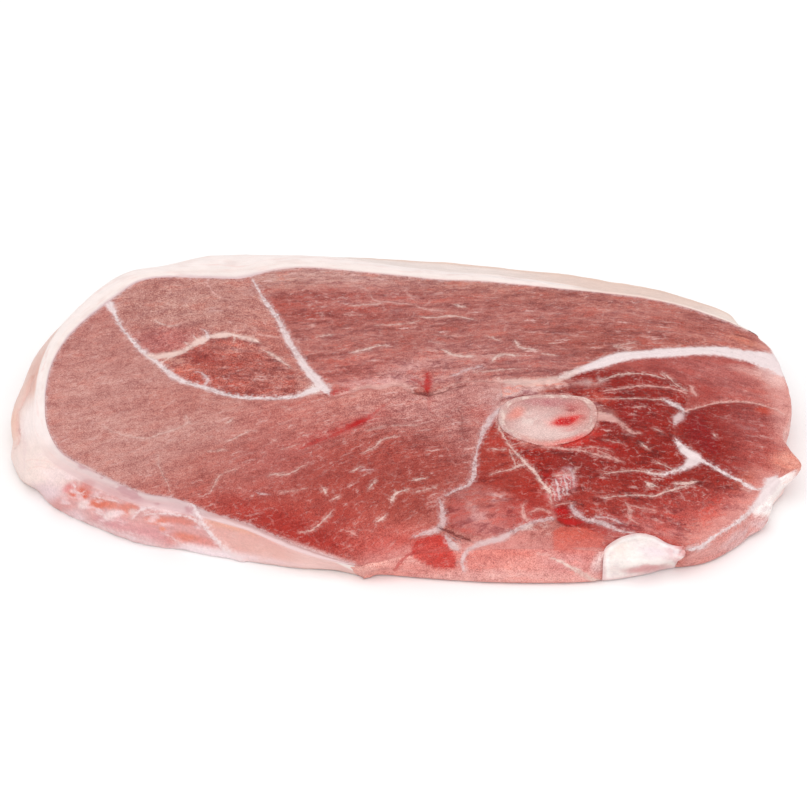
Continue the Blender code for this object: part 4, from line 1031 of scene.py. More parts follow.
def build_lean():
    cols, nrm = lean_columns()
    n = len(cols)
    xy, swell, cover, run_in = cols[:, :2], cols[:, 2], cols[:, 3], cols[:, 4]
    whole = (cover < 0.5).astype(float)
    bare = np.convolve(np.r_[whole[-2:], whole, whole[:2]], np.ones(5) / 5, "valid")
    # beside the pad the bare wall keeps its full shape right up to the notch
    beside = np.convolve(np.r_[cover[-4:], cover, cover[:4]] > 1.5, np.ones(9), "valid") > 0.5
    bare = np.where(beside, whole, bare)
    arc = np.r_[0, np.cumsum(np.hypot(*np.diff(xy, axis=0).T))]
    total = arc[-1] + np.hypot(*(xy[0] - xy[-1]))
    top = face_height(xy[:, 0], xy[:, 1])

    shares = [0.0, 0.03, 0.08, 0.15, 0.24, 0.34, 0.45, 0.56, 0.67, 0.78, 0.87, 0.935, 0.972, 0.99, 1.0]
    rows = []
    for k, s in enumerate(shares):
        d = wall_offset(s, swell) * bare + (run_in * (1 - s)) * (1 - bare)
        lump = 0.22 * fbm(arc, np.full(n, s * 12.0), 5.0, 61, 2) + 0.10 * fbm(arc * 0.35, np.full(n, s * 12.0), 0.9, 62, 2)
        lump = lump * ease(0, 0.12, s) * ease(1.0, 0.95, s) * bare
        # the hanging edge of each muscle is a little scalloped
        d = d + lump + 0.12 * fbm(arc, arc * 0, 3.0, 63, 2) * bare * ease(0.85, 1.0, s)
        # the soft white corner at the front right swells out
        d = d + 2.3 * blob(xy[:, 0], xy[:, 1], 102.8, -48.6, 4.6, 4.6, 0, 0.7) * ease(0.0, 0.2, s) * ease(1.0, 0.72, s)
        p = xy + nrm * d[:, None]
        # the notch stays behind the pad's wall at every height
        behind = np.maximum(0.6 - (cols[:, 7] + wall_offset(s, swell)), 0) * np.round(cols[:, 8])
        p = p - cols[:, 5:7] * behind[:, None]
        # low down, the sharp nose of the right end is rounder
        tip = (ease(103, 108, xy[:, 0]) * ease(-24, -30, xy[:, 1]) * ease(0.9, 0.4, s))[:, None]
        for _ in range(60):
            p = p + 0.5 * tip * ((np.roll(p, 1, 0) + np.roll(p, -1, 0)) / 2 - p)
        z = top * s if s < 1.0 else face_height(p[:, 0], p[:, 1])
        z = np.where(s > 0.9, top * s * (1 - ease(0.9, 1.0, s)) + face_height(p[:, 0], p[:, 1]) * ease(0.9, 1.0, s), z)
        rows.append(np.column_stack([p, z]))
    rim = rows[-1][:, :2]
    foot = rows[0][:, :2]

    # the hole for the femur
    nh = 150
    ha = np.linspace(0, 2 * math.pi, nh + 1)[:-1]
    hole = femur(BONE_A - 0.12, BONE_B - 0.12, ha)

    def in_hole(x, y, grow):
        ang = np.arctan2(y - BONE_Y, x - BONE_X)
        edge = femur(BONE_A - 0.12 + grow, BONE_B - 0.12 + grow, ang)
        return np.hypot(x - BONE_X, y - BONE_Y) < np.hypot(edge[:, 0] - BONE_X, edge[:, 1] - BONE_Y)

    def face_points(step, fine, margin, loop):
        lo, hi = loop.min(axis=0), loop.max(axis=0)
        p = hexes(lo, hi, step)
        if fine:
            f = hexes(lo, hi, fine)
            near = np.zeros(len(f), bool)
            far = np.zeros(len(p), bool)
            for g in LINES[:3]:
                a = line_field(f[:, 0], f[:, 1], g)
                near |= (np.abs(a["s"]) < np.maximum(a["hw"], 0) + 0.55) & (a["hw"] > -0.4)
                b = line_field(p[:, 0], p[:, 1], g)
                far |= (np.abs(b["s"]) < np.maximum(b["hw"], 0) + 0.75) & (b["hw"] > -0.5)
            p = np.vstack([p[~far], f[near]])
        d = inside(p[:, 0], p[:, 1], loop)
        p = p[(d > margin) & ~in_hole(p[:, 0], p[:, 1], margin)]
        return p

    verts, tris, parts = [], [], []

    # top
    pt = face_points(0.76, 0.42, 0.42, rim)
    P = np.vstack([rim, hole, pt])
    tt = triangulate(P, [list(range(n)), list(range(n, n + nh))],
                     lambda x, y: (inside_fast(x, y, rim)) & ~in_hole(x, y, -0.02))
    # bottom
    pb = face_points(1.9, None, 0.9, foot)
    B = np.vstack([foot, hole, pb])
    tb = triangulate(B, [list(range(n)), list(range(n, n + nh))],
                     lambda x, y: (inside_fast(x, y, foot)) & ~in_hole(x, y, -0.02))
    print("lean: top %d, bottom %d triangles" % (len(tt), len(tb)))

    # heights of the sawn face
    X, Y = P[:, 0], P[:, 1]
    fields, inks = seam_fields(X, Y)
    col, tex, fib, maps = sawn_face(X, Y)
    # skin of the femur: ragged pale tissue round the hole, bloody at the lower right
    ang = np.arctan2(Y - BONE_Y, X - BONE_X)
    edge = femur(BONE_A, BONE_B, ang)
    out = np.hypot(X - BONE_X, Y - BONE_Y) - np.hypot(edge[:, 0] - BONE_X, edge[:, 1] - BONE_Y)
    skin = ease(1.5, 0.1, out + 0.9 * fbm(X, Y, 1.7, 79)) * ease(-0.35, 0.15, fbm(X, Y, 2.4, 80))
    red = ease(0.9, 0.3, np.abs(ang + 0.95))[:, None]
    ink = srgb((222, 172, 165)) * (1 - red) + srgb((208, 84, 82)) * red
    col = col + (ink - col) * (0.75 * skin)[:, None]
    dist = np.full(len(X), 60.0)
    for key in ("A", "B", "D", "G", "H", "L", "N", "K", "I", "J", "E", "E2", "C"):
        q, _ = curve_points(SEAMS[key][0], (1, 1), 1.5)
        d = np.sqrt(((X[:, None] - q[:, 0]) ** 2 + (Y[:, None] - q[:, 1]) ** 2).min(axis=1))
        dist = np.minimum(dist, d)
    rim_d = np.full(len(X), 60.0)
    for i in range(0, n, 6):
        rim_d = np.minimum(rim_d, np.hypot(X - rim[i, 0], Y - rim[i, 1]))
    rel = 0.42 * (1 - np.exp(-np.minimum(dist, rim_d) / 4.0)) - 0.25
    rel += 0.16 * fbm(X, Y, 9.0, 21) + 0.07 * fbm(X, Y, 2.6, 22)
    a, b = fib[:, 0], fib[:, 1]
    rel += (0.05 + 0.07 * tex[:, 0]) * vnoise(a / 7.0, b / 1.5, 23)
    for f in fields:
        shape = np.exp(-(f["s"] / (np.maximum(f["hw"], 0.0) + 0.45)) ** 2) * (f["hw"] > -1.0)
        rel -= f["groove"] * shape
    # thick fat stands a little proud and is smooth
    f0 = fields[0]
    rel += 0.12 * ease(-0.2, 0.8, f0["hw"] - np.abs(f0["s"])) * (f0["hw"] > 0.9)
    rel *= ease(0.0, 1.6, rim_d) * ease(0.0, 2.4, np.maximum(out, 0))
    rel[:n + nh] = 0
    rel[:n] -= 0.22 * (1 - bare)
    Z = face_height(X, Y) + rel
    topv = np.column_stack([P, Z])
    botv = np.column_stack([B, np.zeros(len(B))])

    nt = len(topv)
    nb = len(botv)
    mid = np.vstack(rows[1:-1])
    verts = np.vstack([topv, botv, mid])
    m0 = nt + nb

    def row_index(k):
        if k == 0:
            return nt + np.arange(n)
        if k == len(rows) - 1:
            return np.arange(n)
        return m0 + (k - 1) * n + np.arange(n)

    wall = []
    for k in range(len(rows) - 1):
        lo, hi = row_index(k), row_index(k + 1)
        lo2, hi2 = np.roll(lo, -1), np.roll(hi, -1)
        wall.append(np.column_stack([lo, lo2, hi2]))
        wall.append(np.column_stack([lo, hi2, hi]))
    wall = np.vstack(wall)
    ht, hb = n + np.arange(nh), nt + n + np.arange(nh)
    ht2, hb2 = np.roll(ht, -1), np.roll(hb, -1)
    hwall = np.vstack([np.column_stack([hb2, hb, ht]), np.column_stack([hb2, ht, ht2])])
    tris = np.vstack([tt, tb[:, ::-1] + nt, wall, hwall])

    # paint: top, then bottom, then wall
    nv = len(verts)
    A = {k: np.zeros((nv, 3)) for k in ("c_flesh", "tex", "fib", "g0", "g1", "g2", "c_i0", "c_i1", "c_i2")}

    def put(at, col, tex, fib, fields):
        A["c_flesh"][at] = col
        A["tex"][at] = tex
        A["fib"][at] = fib
        for i, f in enumerate(fields):
            A["g%d" % i][at] = np.column_stack([f["s"], f["hw"], f["k"]])
            A["c_i%d" % i][at] = inks[f["ink"]]

    put(slice(0, nt), col, tex, fib, fields)
    fb, _ = seam_fields(B[:, 0], B[:, 1], 2.4)
    cb, tb_, fbb, _ = sawn_face(B[:, 0], B[:, 1])
    put(slice(nt, nt + nb), cb, tb_, fbb, fb)
    wx, wy = unwrap(mid)
    share = np.repeat(np.array(shares[1:-1]), n)
    ww = np.tile(bare, len(shares) - 2)
    arcw = np.tile(arc, len(shares) - 2)
    fw, _ = seam_fields(wx, wy)
    cw, tw, _, _ = sawn_face(wx, wy)
    cw, tw = paint_wall(mid, wx, wy, share, arcw, cw, tw)
    # round the end and the rim the plain coordinates of the wall take over
    fibw = np.column_stack([arcw, share * 13.0, np.full(len(arcw), 0.3)])
    put(slice(m0, nv), cw, tw, fibw, fw)

    # UV atlas: the face across the whole width, the underside and the wall below it
    loops_uv = np.zeros((len(tris), 3, 2))
    x0, y0 = foot.min(axis=0) - 3
    x1, y1 = foot.max(axis=0) + 3
    sc = 0.996 / (x1 - x0)
    V = verts[tris]
    k1, k2 = len(tt), len(tt) + len(tb)
    loops_uv[:k1, :, 0] = (V[:k1, :, 0] - x0) * sc + 0.002
    loops_uv[:k1, :, 1] = (V[:k1, :, 1] - y0) * sc + 0.998 - (y1 - y0) * sc
    loops_uv[k1:k2, :, 0] = (V[k1:k2, :, 0] - x0) * sc * 0.5 + 0.002
    loops_uv[k1:k2, :, 1] = (V[k1:k2, :, 1] - y0) * sc * 0.5 + 0.004
    kk = (len(tris) - k2 - len(hwall))
    col_lo = np.arange(n)
    cid = np.concatenate([col_lo, col_lo] * (len(rows) - 1))
    rid = np.repeat(np.arange(len(rows) - 1), 2 * n)
    kind = np.tile(np.repeat([0, 1], n), len(rows) - 1)
    a0 = arc[cid]
    a1 = np.where(cid == n - 1, total, arc[(cid + 1) % n])
    height = np.r_[0, np.cumsum(np.full(len(rows) - 1, 13.5 / (len(rows) - 1)))]
    h0, h1 = height[rid], height[rid + 1]
    strips = 4
    run = total / strips
    ws = 0.47 / (run + 1.5)
    strip = np.minimum((a0 / run).astype(int), strips - 1)
    ua, ub = (a0 - strip * run) * ws + 0.52, (a1 - strip * run) * ws + 0.52
    base_v = 0.01 + strip * 0.062
    va, vb = base_v + h0 * ws, base_v + h1 * ws
    tri0 = np.stack([np.column_stack([ua, va]), np.column_stack([ub, va]), np.column_stack([ub, vb])], axis=1)
    tri1 = np.stack([np.column_stack([ua, va]), np.column_stack([ub, vb]), np.column_stack([ua, vb])], axis=1)
    loops_uv[k2:k2 + kk] = np.where((kind == 0)[:, None, None], tri0, tri1)
    hs = np.arange(nh)
    hu0, hu1 = 0.52 + hs / nh * 0.3, 0.52 + (hs + 1) / nh * 0.3
    vv0, vv1 = 0.27, 0.30
    loops_uv[k2 + kk:k2 + kk + nh] = np.stack([np.column_stack([hu1, hs * 0 + vv0]), np.column_stack([hu0, hs * 0 + vv0]), np.column_stack([hu0, hs * 0 + vv1])], axis=1)
    loops_uv[k2 + kk + nh:] = np.stack([np.column_stack([hu1, hs * 0 + vv0]), np.column_stack([hu0, hs * 0 + vv1]), np.column_stack([hu1, hs * 0 + vv1])], axis=1)
    ob = make_mesh("lean_flesh", verts, tris, A, loops_uv.reshape(-1, 2))
    print("lean: %d triangles, SHIFT %.3f %.3f" % (len(tris), SHIFT[0], SHIFT[1]))
    return ob


def inside_fast(x, y, poly):
    """Even-odd test against a long loop, by sorted crossings per strip."""
    p = np.asarray(poly, float)
    q = np.roll(p, -1, axis=0)
    odd = np.zeros(len(x), bool)
    order = np.argsort(y)
    ys = y[order]
    xs = x[order]
    flags = np.zeros(len(x), bool)
    for a, b in zip(p, q):
        lo, hi = (a[1], b[1]) if a[1] < b[1] else (b[1], a[1])
        if lo == hi:
            continue
        i, j = np.searchsorted(ys, lo, "right"), np.searchsorted(ys, hi, "right")
        if i < j:
            cut = (b[0] - a[0]) * (ys[i:j] - a[1]) / (b[1] - a[1]) + a[0]
            flags[i:j] ^= xs[i:j] < cut
    odd[order] = flags
    return odd


# tones of the bare wall, laid out on the unwrapped plane of the face
WALLS = [
    (-5, -73.5, 12, 5, 6, 0.5, (232, 168, 158), 0.95),
    (1, -78, 8, 5, 0, 0.5, (226, 150, 142), 0.8),
    (23, -77, 10, 5, 0, 0.6, (222, 142, 134), 0.8),
    (19, -72, 4, 5, 0, 0.6, (212, 118, 108), 0.6),
    (30, -74, 8, 4, 0, 0.6, (224, 128, 116), 0.6),
    (38, -79, 12, 5, -4, 0.6, (228, 152, 143), 0.85),
    (49, -78, 7, 7, 0, 0.5, (214, 132, 126), 0.85),
    (45, -78, 6, 4, 0, 0.7, (224, 160, 157), 0.5),
    (55, -76, 1.8, 6, -20, 0.6, (236, 206, 203), 0.7),
    (49, -70, 8, 3, 0, 0.6, (208, 104, 92), 0.6),
    (20, -83, 40, 2.4, -2, 0.6, (232, 172, 165), 0.8),
]
WHITE_CORNER = [(104.5, -41.0), (113, -37.5), (111.5, -45.0), (107.6, -51.5), (103.6, -57.0), (99.6, -56.6), (98.2, -54.4), (101.2, -48.8)]
RED_WALL = [(77.5, -78), (79.2, -73.4), (84.0, -70.4), (88.5, -66.5), (93.0, -63.1), (97.6, -58.9), (100.8, -55.6), (106, -54), (103, -62), (96, -68), (88, -76), (82, -82)]


def paint_wall(V, wx, wy, share, arc, col, tex):
    n = len(wx)
    jx = wx + 0.7 * fbm(arc, V[:, 2] * 2, 4.0, 71)
    jy = wy + 0.7 * fbm(arc, V[:, 2] * 2, 4.0, 72)
    c = col.copy()
    # a cut edge: paler and pinker down the wall, partly the cut tissue's own tone and partly painted light where the
    # wall faces the light
    side = ease(1.06, 0.62, share + 0.16 * fbm(arc, V[:, 2], 3.0, 73))[:, None]
    pale = srgb((217, 140, 132))
    bright = ease(-0.3, 0.4, inside(jx, jy, MUSCLES["bright"]))[:, None]
    c = c + (pale - c) * (0.62 * side * (1 - bright))
    c = c + (srgb((200, 74, 68)) - c) * (0.9 * bright * ease(0.05, 0.4, share)[:, None])
    for cx, cy, rx, ry, turn, soft, ink, k in WALLS:
        w = blob(jx, jy, cx, cy, rx, ry, turn, soft)[:, None] * k * (1 - 0.85 * bright)
        c = c + (srgb(ink) - c) * w
    # the end and the front right: red wall muscle, its pink made lighter as painted light where the wall faces the
    # front, then the white corner
    w = ease(-0.8, 0.8, inside(jx, jy, RED_WALL))[:, None]
    c = c + (srgb((221, 154, 147)) - c) * 0.92 * w
    w2 = w[:, 0] * ease(0.0, 0.5, fbm(arc, V[:, 2] * 2.0, 2.4, 74))
    c = c + (srgb((208, 128, 122)) - c) * (0.6 * w2)[:, None]
    w2 = w[:, 0] * ease(84, 95, V[:, 0]) * ease(-0.5, 0.3, fbm(arc, V[:, 2] * 2.0, 3.0, 75))
    c = c + (srgb((228, 188, 187)) - c) * (0.9 * w2)[:, None]
    # the white corner: white tissue with a painted soft highlight over its swelling
    w = ease(-1.0, 1.2, inside(jx, jy, WHITE_CORNER))[:, None]
    c = c + (srgb((251, 240, 237)) - c) * 0.97 * w
    white = w[:, 0]
    # painted light: the right end above its middle lies in shade there and is painted a paler pink, as if lit
    right = ease(104, 113, V[:, 0]) * ease(-38, -30, V[:, 1])
    c = c + (srgb((228, 168, 160)) - c) * (0.85 * right * ease(1.04, 0.9, share))[:, None]
    # the white seam D runs over the right end
    d = blob(V[:, 0], V[:, 1], 114, 15.5, 6, 5.4, -12, 0.35) * ease(0.2, 0.7, share)
    c = c + (srgb((246, 230, 228)) - c) * (0.9 * d)[:, None]
    d = ease(0.2, 0.0, share)[:, None]
    c = c + (srgb((228, 168, 160)) - c) * 0.45 * d
    # a film of fat where the skin side's fat runs out at the back right
    d = ease(25.5, 31.5, V[:, 1] + 1.6 * fbm(arc, V[:, 2], 3.0, 81)) * ease(97, 103, V[:, 0]) * ease(1.0, 0.85, share)
    c = c + (srgb((230, 203, 194)) - c) * (0.85 * d)[:, None]
    t = tex.copy()
    t[:] = (0.50, 0.22, 0.70)
    t *= (1 - 0.8 * white)[:, None]
    return c, t


# ---------------------------------------------------------------------------
# the fat round the far side and the left end, with its skin
# ---------------------------------------------------------------------------
FACE_SPAN, SKIN_SPAN, FOOT_SPAN, BACK_SPAN = 13, 11, 6, 3


def fat_section(w, f, zb, h, run_in):
    full = w + max(f, 0.0)
    foot = max(w + f - min(1.4, 0.35 * w), 0.35)
    pts = [
        (0.0, h), (0.5 * w, h + 0.15), (w, h - 0.35),
        (w + 0.45 * f, h - 0.35 - 0.32 * (h - zb)),
        (w + 0.85 * f, zb + 0.35 * (h - zb)),
        (full if f > 0 else w + f * 0.8, zb),
        (0.5 * (full + foot) if f > 0 else w + f, 0.42 * zb),
        (foot, 0.0), (0.0, 0.0),
    ]
    return np.array([(d + run_in * (1 - z / h), z) for d, z in pts])


def cap_sections():
    """Rows of one fine section per rib: offsets, heights, and where each row
    lies (0-1 the sawn fat, 1-2 the skin, 2-3 the foot, 3-4 hidden)."""
    o = resample(spline(FAT_RIBS, False), CAP_SIDES, False)
    n = len(o)
    nrm = outward(o[:, :2], False)
    for _ in range(14):
        m = nrm.copy()
        m[1:-1] = (nrm[:-2] + 2 * nrm[1:-1] + nrm[2:]) / 4
        nrm = m / np.hypot(m[:, 0], m[:, 1])[:, None]
    base = o[:, :2] + nrm * (GAP / 2)
    end = np.minimum(1.0, 0.35 + 0.65 * np.minimum(np.arange(n), n - 1 - np.arange(n)) / 3.0)
    h = face_height(base[:, 0], base[:, 1])
    data = np.column_stack([base, nrm, np.maximum(o[:, 2], 0.5) * end, o[:, 3] * end,
                            np.minimum(o[:, 4], h - 0.8), h, o[:, 5]])
    data = resample(spline(data, False, 8), 700, False)
    m = np.hypot(data[:, 2], data[:, 3])
    data[:, 2] /= m
    data[:, 3] /= m
    rows, where = [], []
    for r in data:
        s = fat_section(r[4], r[5], r[6], r[7], r[8])
        line = []
        for i in range(7):
            a, b, c, d = s[max(i - 1, 0)], s[i], s[i + 1], s[min(i + 2, 7)]
            k = FACE_SPAN if i < 2 else SKIN_SPAN
            t = (np.arange(k) / k)[:, None]
            q = 0.5 * ((2 * b) + (c - a) * t + (2 * a - 5 * b + 4 * c - d) * t * t + (3 * b - a - 3 * c + d) * t ** 3)
            line.append(q)
        t = (np.arange(FOOT_SPAN) / FOOT_SPAN)[:, None]
        line.append(s[7] * (1 - t) + s[8] * t)
        t = (np.arange(BACK_SPAN) / BACK_SPAN)[:, None]
        line.append(s[8] * (1 - t) + s[0] * t)
        rows.append(np.vstack(line))
    w = [np.arange(2 * FACE_SPAN) / (2 * FACE_SPAN), 1 + np.arange(5 * SKIN_SPAN) / (5 * SKIN_SPAN),
         2 + np.arange(FOOT_SPAN) / FOOT_SPAN, 3 + np.arange(BACK_SPAN) / BACK_SPAN]
    return data, np.array(rows), np.concatenate(w)


# lines on the sawn fat and the skin, laid out on the unwrapped plane
CAP_LINES = [
    # the white seam that runs down the front left wall from the nick
    ([(-60.4, -51.2), (-58.6, -55.0), (-56.6, -59.4), (-54.8, -62.8), (-53.2, -66.1), (-51.2, -69.2), (-49.2, -72.1), (-46.6, -75.1), (-43.2, -77.6)],
     (0.5, 0.9, 0.8, 1.1, 1.5, 1.3, 1.8, 1.9, 2.4), WHITE, 0.85, -0.35),
    ([(-70.5, -60.8), (-68.9, -60.0), (-66.6, -59.8), (-63.3, -60.2), (-59.6, -61.3), (-56.4, -63.2), (-54.2, -65.6)],
     (0.5, 1.1, 0.9, 1.2, 0.9, 1.2, 0.8), WHITE, 0.7, -0.2),
    ([(-65.2, -68.5), (-62.6, -70.6), (-60.2, -73.2), (-56.8, -74.8), (-53.2, -75.4), (-49.7, -75.4), (-46.2, -75.6)],
     (0.4, 0.8, 0.6, 0.9, 0.6, 0.9, 0.9), WHITE, 0.65, -0.15),
    ([(-92.6, -45.2), (-91.4, -48.5), (-90.1, -50.8), (-88.6, -49.6)], (0.4, 0.8, 0.6, 0.4), WHITE, 0.7, -0.1),
    ([(-85.6, -51.9), (-82.7, -53.2), (-80.4, -53.9), (-78.5, -54.7)], (0.4, 0.8, 0.5, 0.5), WHITE, 0.7, -0.1),
    ([(-74.1, -62.4), (-72.8, -59.3), (-70.9, -57.7), (-68.6, -57.1)], (0.5, 1.3, 1.2, 0.6), WHITE, 0.65, -0.1),
    ([(-85.0, -58.6), (-82.6, -60.4), (-80.4, -63.2)], (0.4, 1.0, 0.5), WHITE, 0.6, -0.1),
    ([(-79.6, -67.6), (-74.0, -68.4), (-68.0, -71.2)], (0.3, 0.7, 0.3), WHITE, 0.5, -0.05),
    # crease between the skin and the fat of the left end
    ([(-109.6, 4.0), (-110.4, -4.0), (-111.6, -10.2), (-112.0, -12.3), (-111.5, -17.1), (-110.9, -20.9), (-110.2, -24.2), (-109.9, -28.0)],
     (0.3, 0.5, 0.7, 0.8, 1.0, 1.4, 1.2, 0.4), PINK, 0.5, 0.40),
    ([(-111.9, -14.6), (-111.3, -18.6), (-110.5, -21.9), (-109.9, -24.6)], (0.4, 0.9, 1.1, 0.4), RED, 0.4, 0.1),
    # faint folds of the cream swelling
    ([(-105.2, -36.4), (-102.7, -35.2), (-99.4, -36.2)], (0.3, 0.8, 0.3), PINK, 0.30, 0.08),
    ([(-104.0, -39.6), (-101.0, -38.2), (-98.1, -39.4)], (0.3, 0.8, 0.3), PINK, 0.25, 0.08),
    ([(-110.1, -15.2), (-108.8, -24.7), (-106.6, -31.3), (-105.0, -39.6)], (0.4, 0.9, 1.1, 0.4), LILAC, 0.40, 0.12),
    ([(-88.0, -62.5), (-79.0, -67.6), (-70.0, -72.0), (-62.0, -76.4)], (0.4, 0.9, 0.9, 0.4), WHITE, 0.4, 0.0),
]

# tones of the front left wall
CAP_PATCHES = [
    (-82, -58, 24, 13, -18, 0.6, (213, 162, 160), 0.85),
    (-62, -66, 18, 9, -14, 0.6, (214, 156, 153), 0.85),
    (-101, -38, 9, 12, 20, 0.6, (238, 218, 211), 0.9),
    (-93.2, -48.0, 1.5, 2.5, -30, 0.5, (214, 126, 124), 0.85),
    (-89.8, -50.4, 2.8, 3.0, -30, 0.5, (208, 104, 84), 1.0),
    (-83.8, -55.0, 2.8, 2.6, -16, 0.5, (214, 114, 92), 0.9),
    (-80.3, -56.2, 1.5, 1.8, -10, 0.5, (217, 130, 110), 0.75),
    (-76.0, -57.4, 3.0, 2.2, -6, 0.5, (215, 128, 110), 0.8),
    (-76.3, -60.3, 2.2, 1.3, 0, 0.6, (216, 132, 114), 0.7),
    (-66.7, -62.9, 3.2, 1.9, -3, 0.5, (214, 130, 112), 0.8),
    (-60.3, -63.4, 4.0, 1.9, -6, 0.5, (214, 130, 116), 0.75),
    (-59.3, -70.8, 4.4, 2.4, -6, 0.5, (217, 126, 104), 0.85),
    (-52.8, -72.8, 3.6, 2.8, -20, 0.6, (218, 142, 134), 0.75),
    (-87.7, -46.3, 2.0, 2.1, 0, 0.6, (208, 134, 128), 0.75),
    (-65.3, -66.6, 0.9, 0.9, 0, 0.5, (222, 140, 110), 0.8),
    (-73.2, -52.5, 1.6, 2.0, 0, 0.6, (196, 138, 146), 0.7),
    (-78.5, -50.9, 4.4, 2.0, -12, 0.6, (208, 150, 148), 0.7),
    (-80.7, -63.9, 4.8, 2.2, -16, 0.6, (208, 148, 152), 0.7),
    (-94.5, -55.5, 3.0, 3.0, -40, 0.6, (214, 146, 142), 0.6),
    (-68.7, -69.0, 8.5, 2.6, -18, 0.7, (212, 150, 154), 0.6),
    (-62.6, -57.4, 6.0, 2.0, -10, 0.6, (232, 206, 206), 0.7),
    (-69.7, -56.2, 3.4, 1.6, -10, 0.6, (226, 196, 198), 0.7),
    (-88.2, -55.3, 1.6, 2.2, -20, 0.5, (240, 220, 218), 0.7),
    (-79.9, -60.5, 1.8, 2.2, -20, 0.6, (240, 220, 218), 0.7),
    (-74.7, -59.7, 1.3, 1.6, 0, 0.6, (238, 216, 214), 0.6),
    (-99.5, -50.0, 4.4, 4.4, -40, 0.7, (226, 200, 206), 0.7),
    (-90.2, -60.4, 3.2, 2.2, -30, 0.7, (230, 204, 208), 0.6),
    (-97.0, -41.4, 4.0, 3.0, -30, 0.6, (232, 208, 208), 0.6),
    (-84.0, -67.4, 24, 2.2, -20, 0.7, (234, 206, 208), 0.6),
    (-58.0, -78.2, 18, 2.8, -6, 0.7, (248, 230, 234), 0.95),
    (-44.0, -78.4, 6, 2.4, 0, 0.7, (246, 228, 232), 0.8),
]
PEACH = [(-56.5, -58.4), (-50.0, -61.6), (-43.0, -63.4), (-37.0, -66.2), (-31.0, -68.6), (-25.0, -69.6), (-18.0, -71.6),
         (-12.0, -75.6), (-9.0, -80.0), (-20.0, -84.0), (-40.0, -84.0), (-45.5, -77.0), (-49.6, -72.0), (-52.4, -66.8), (-55.2, -61.0)]


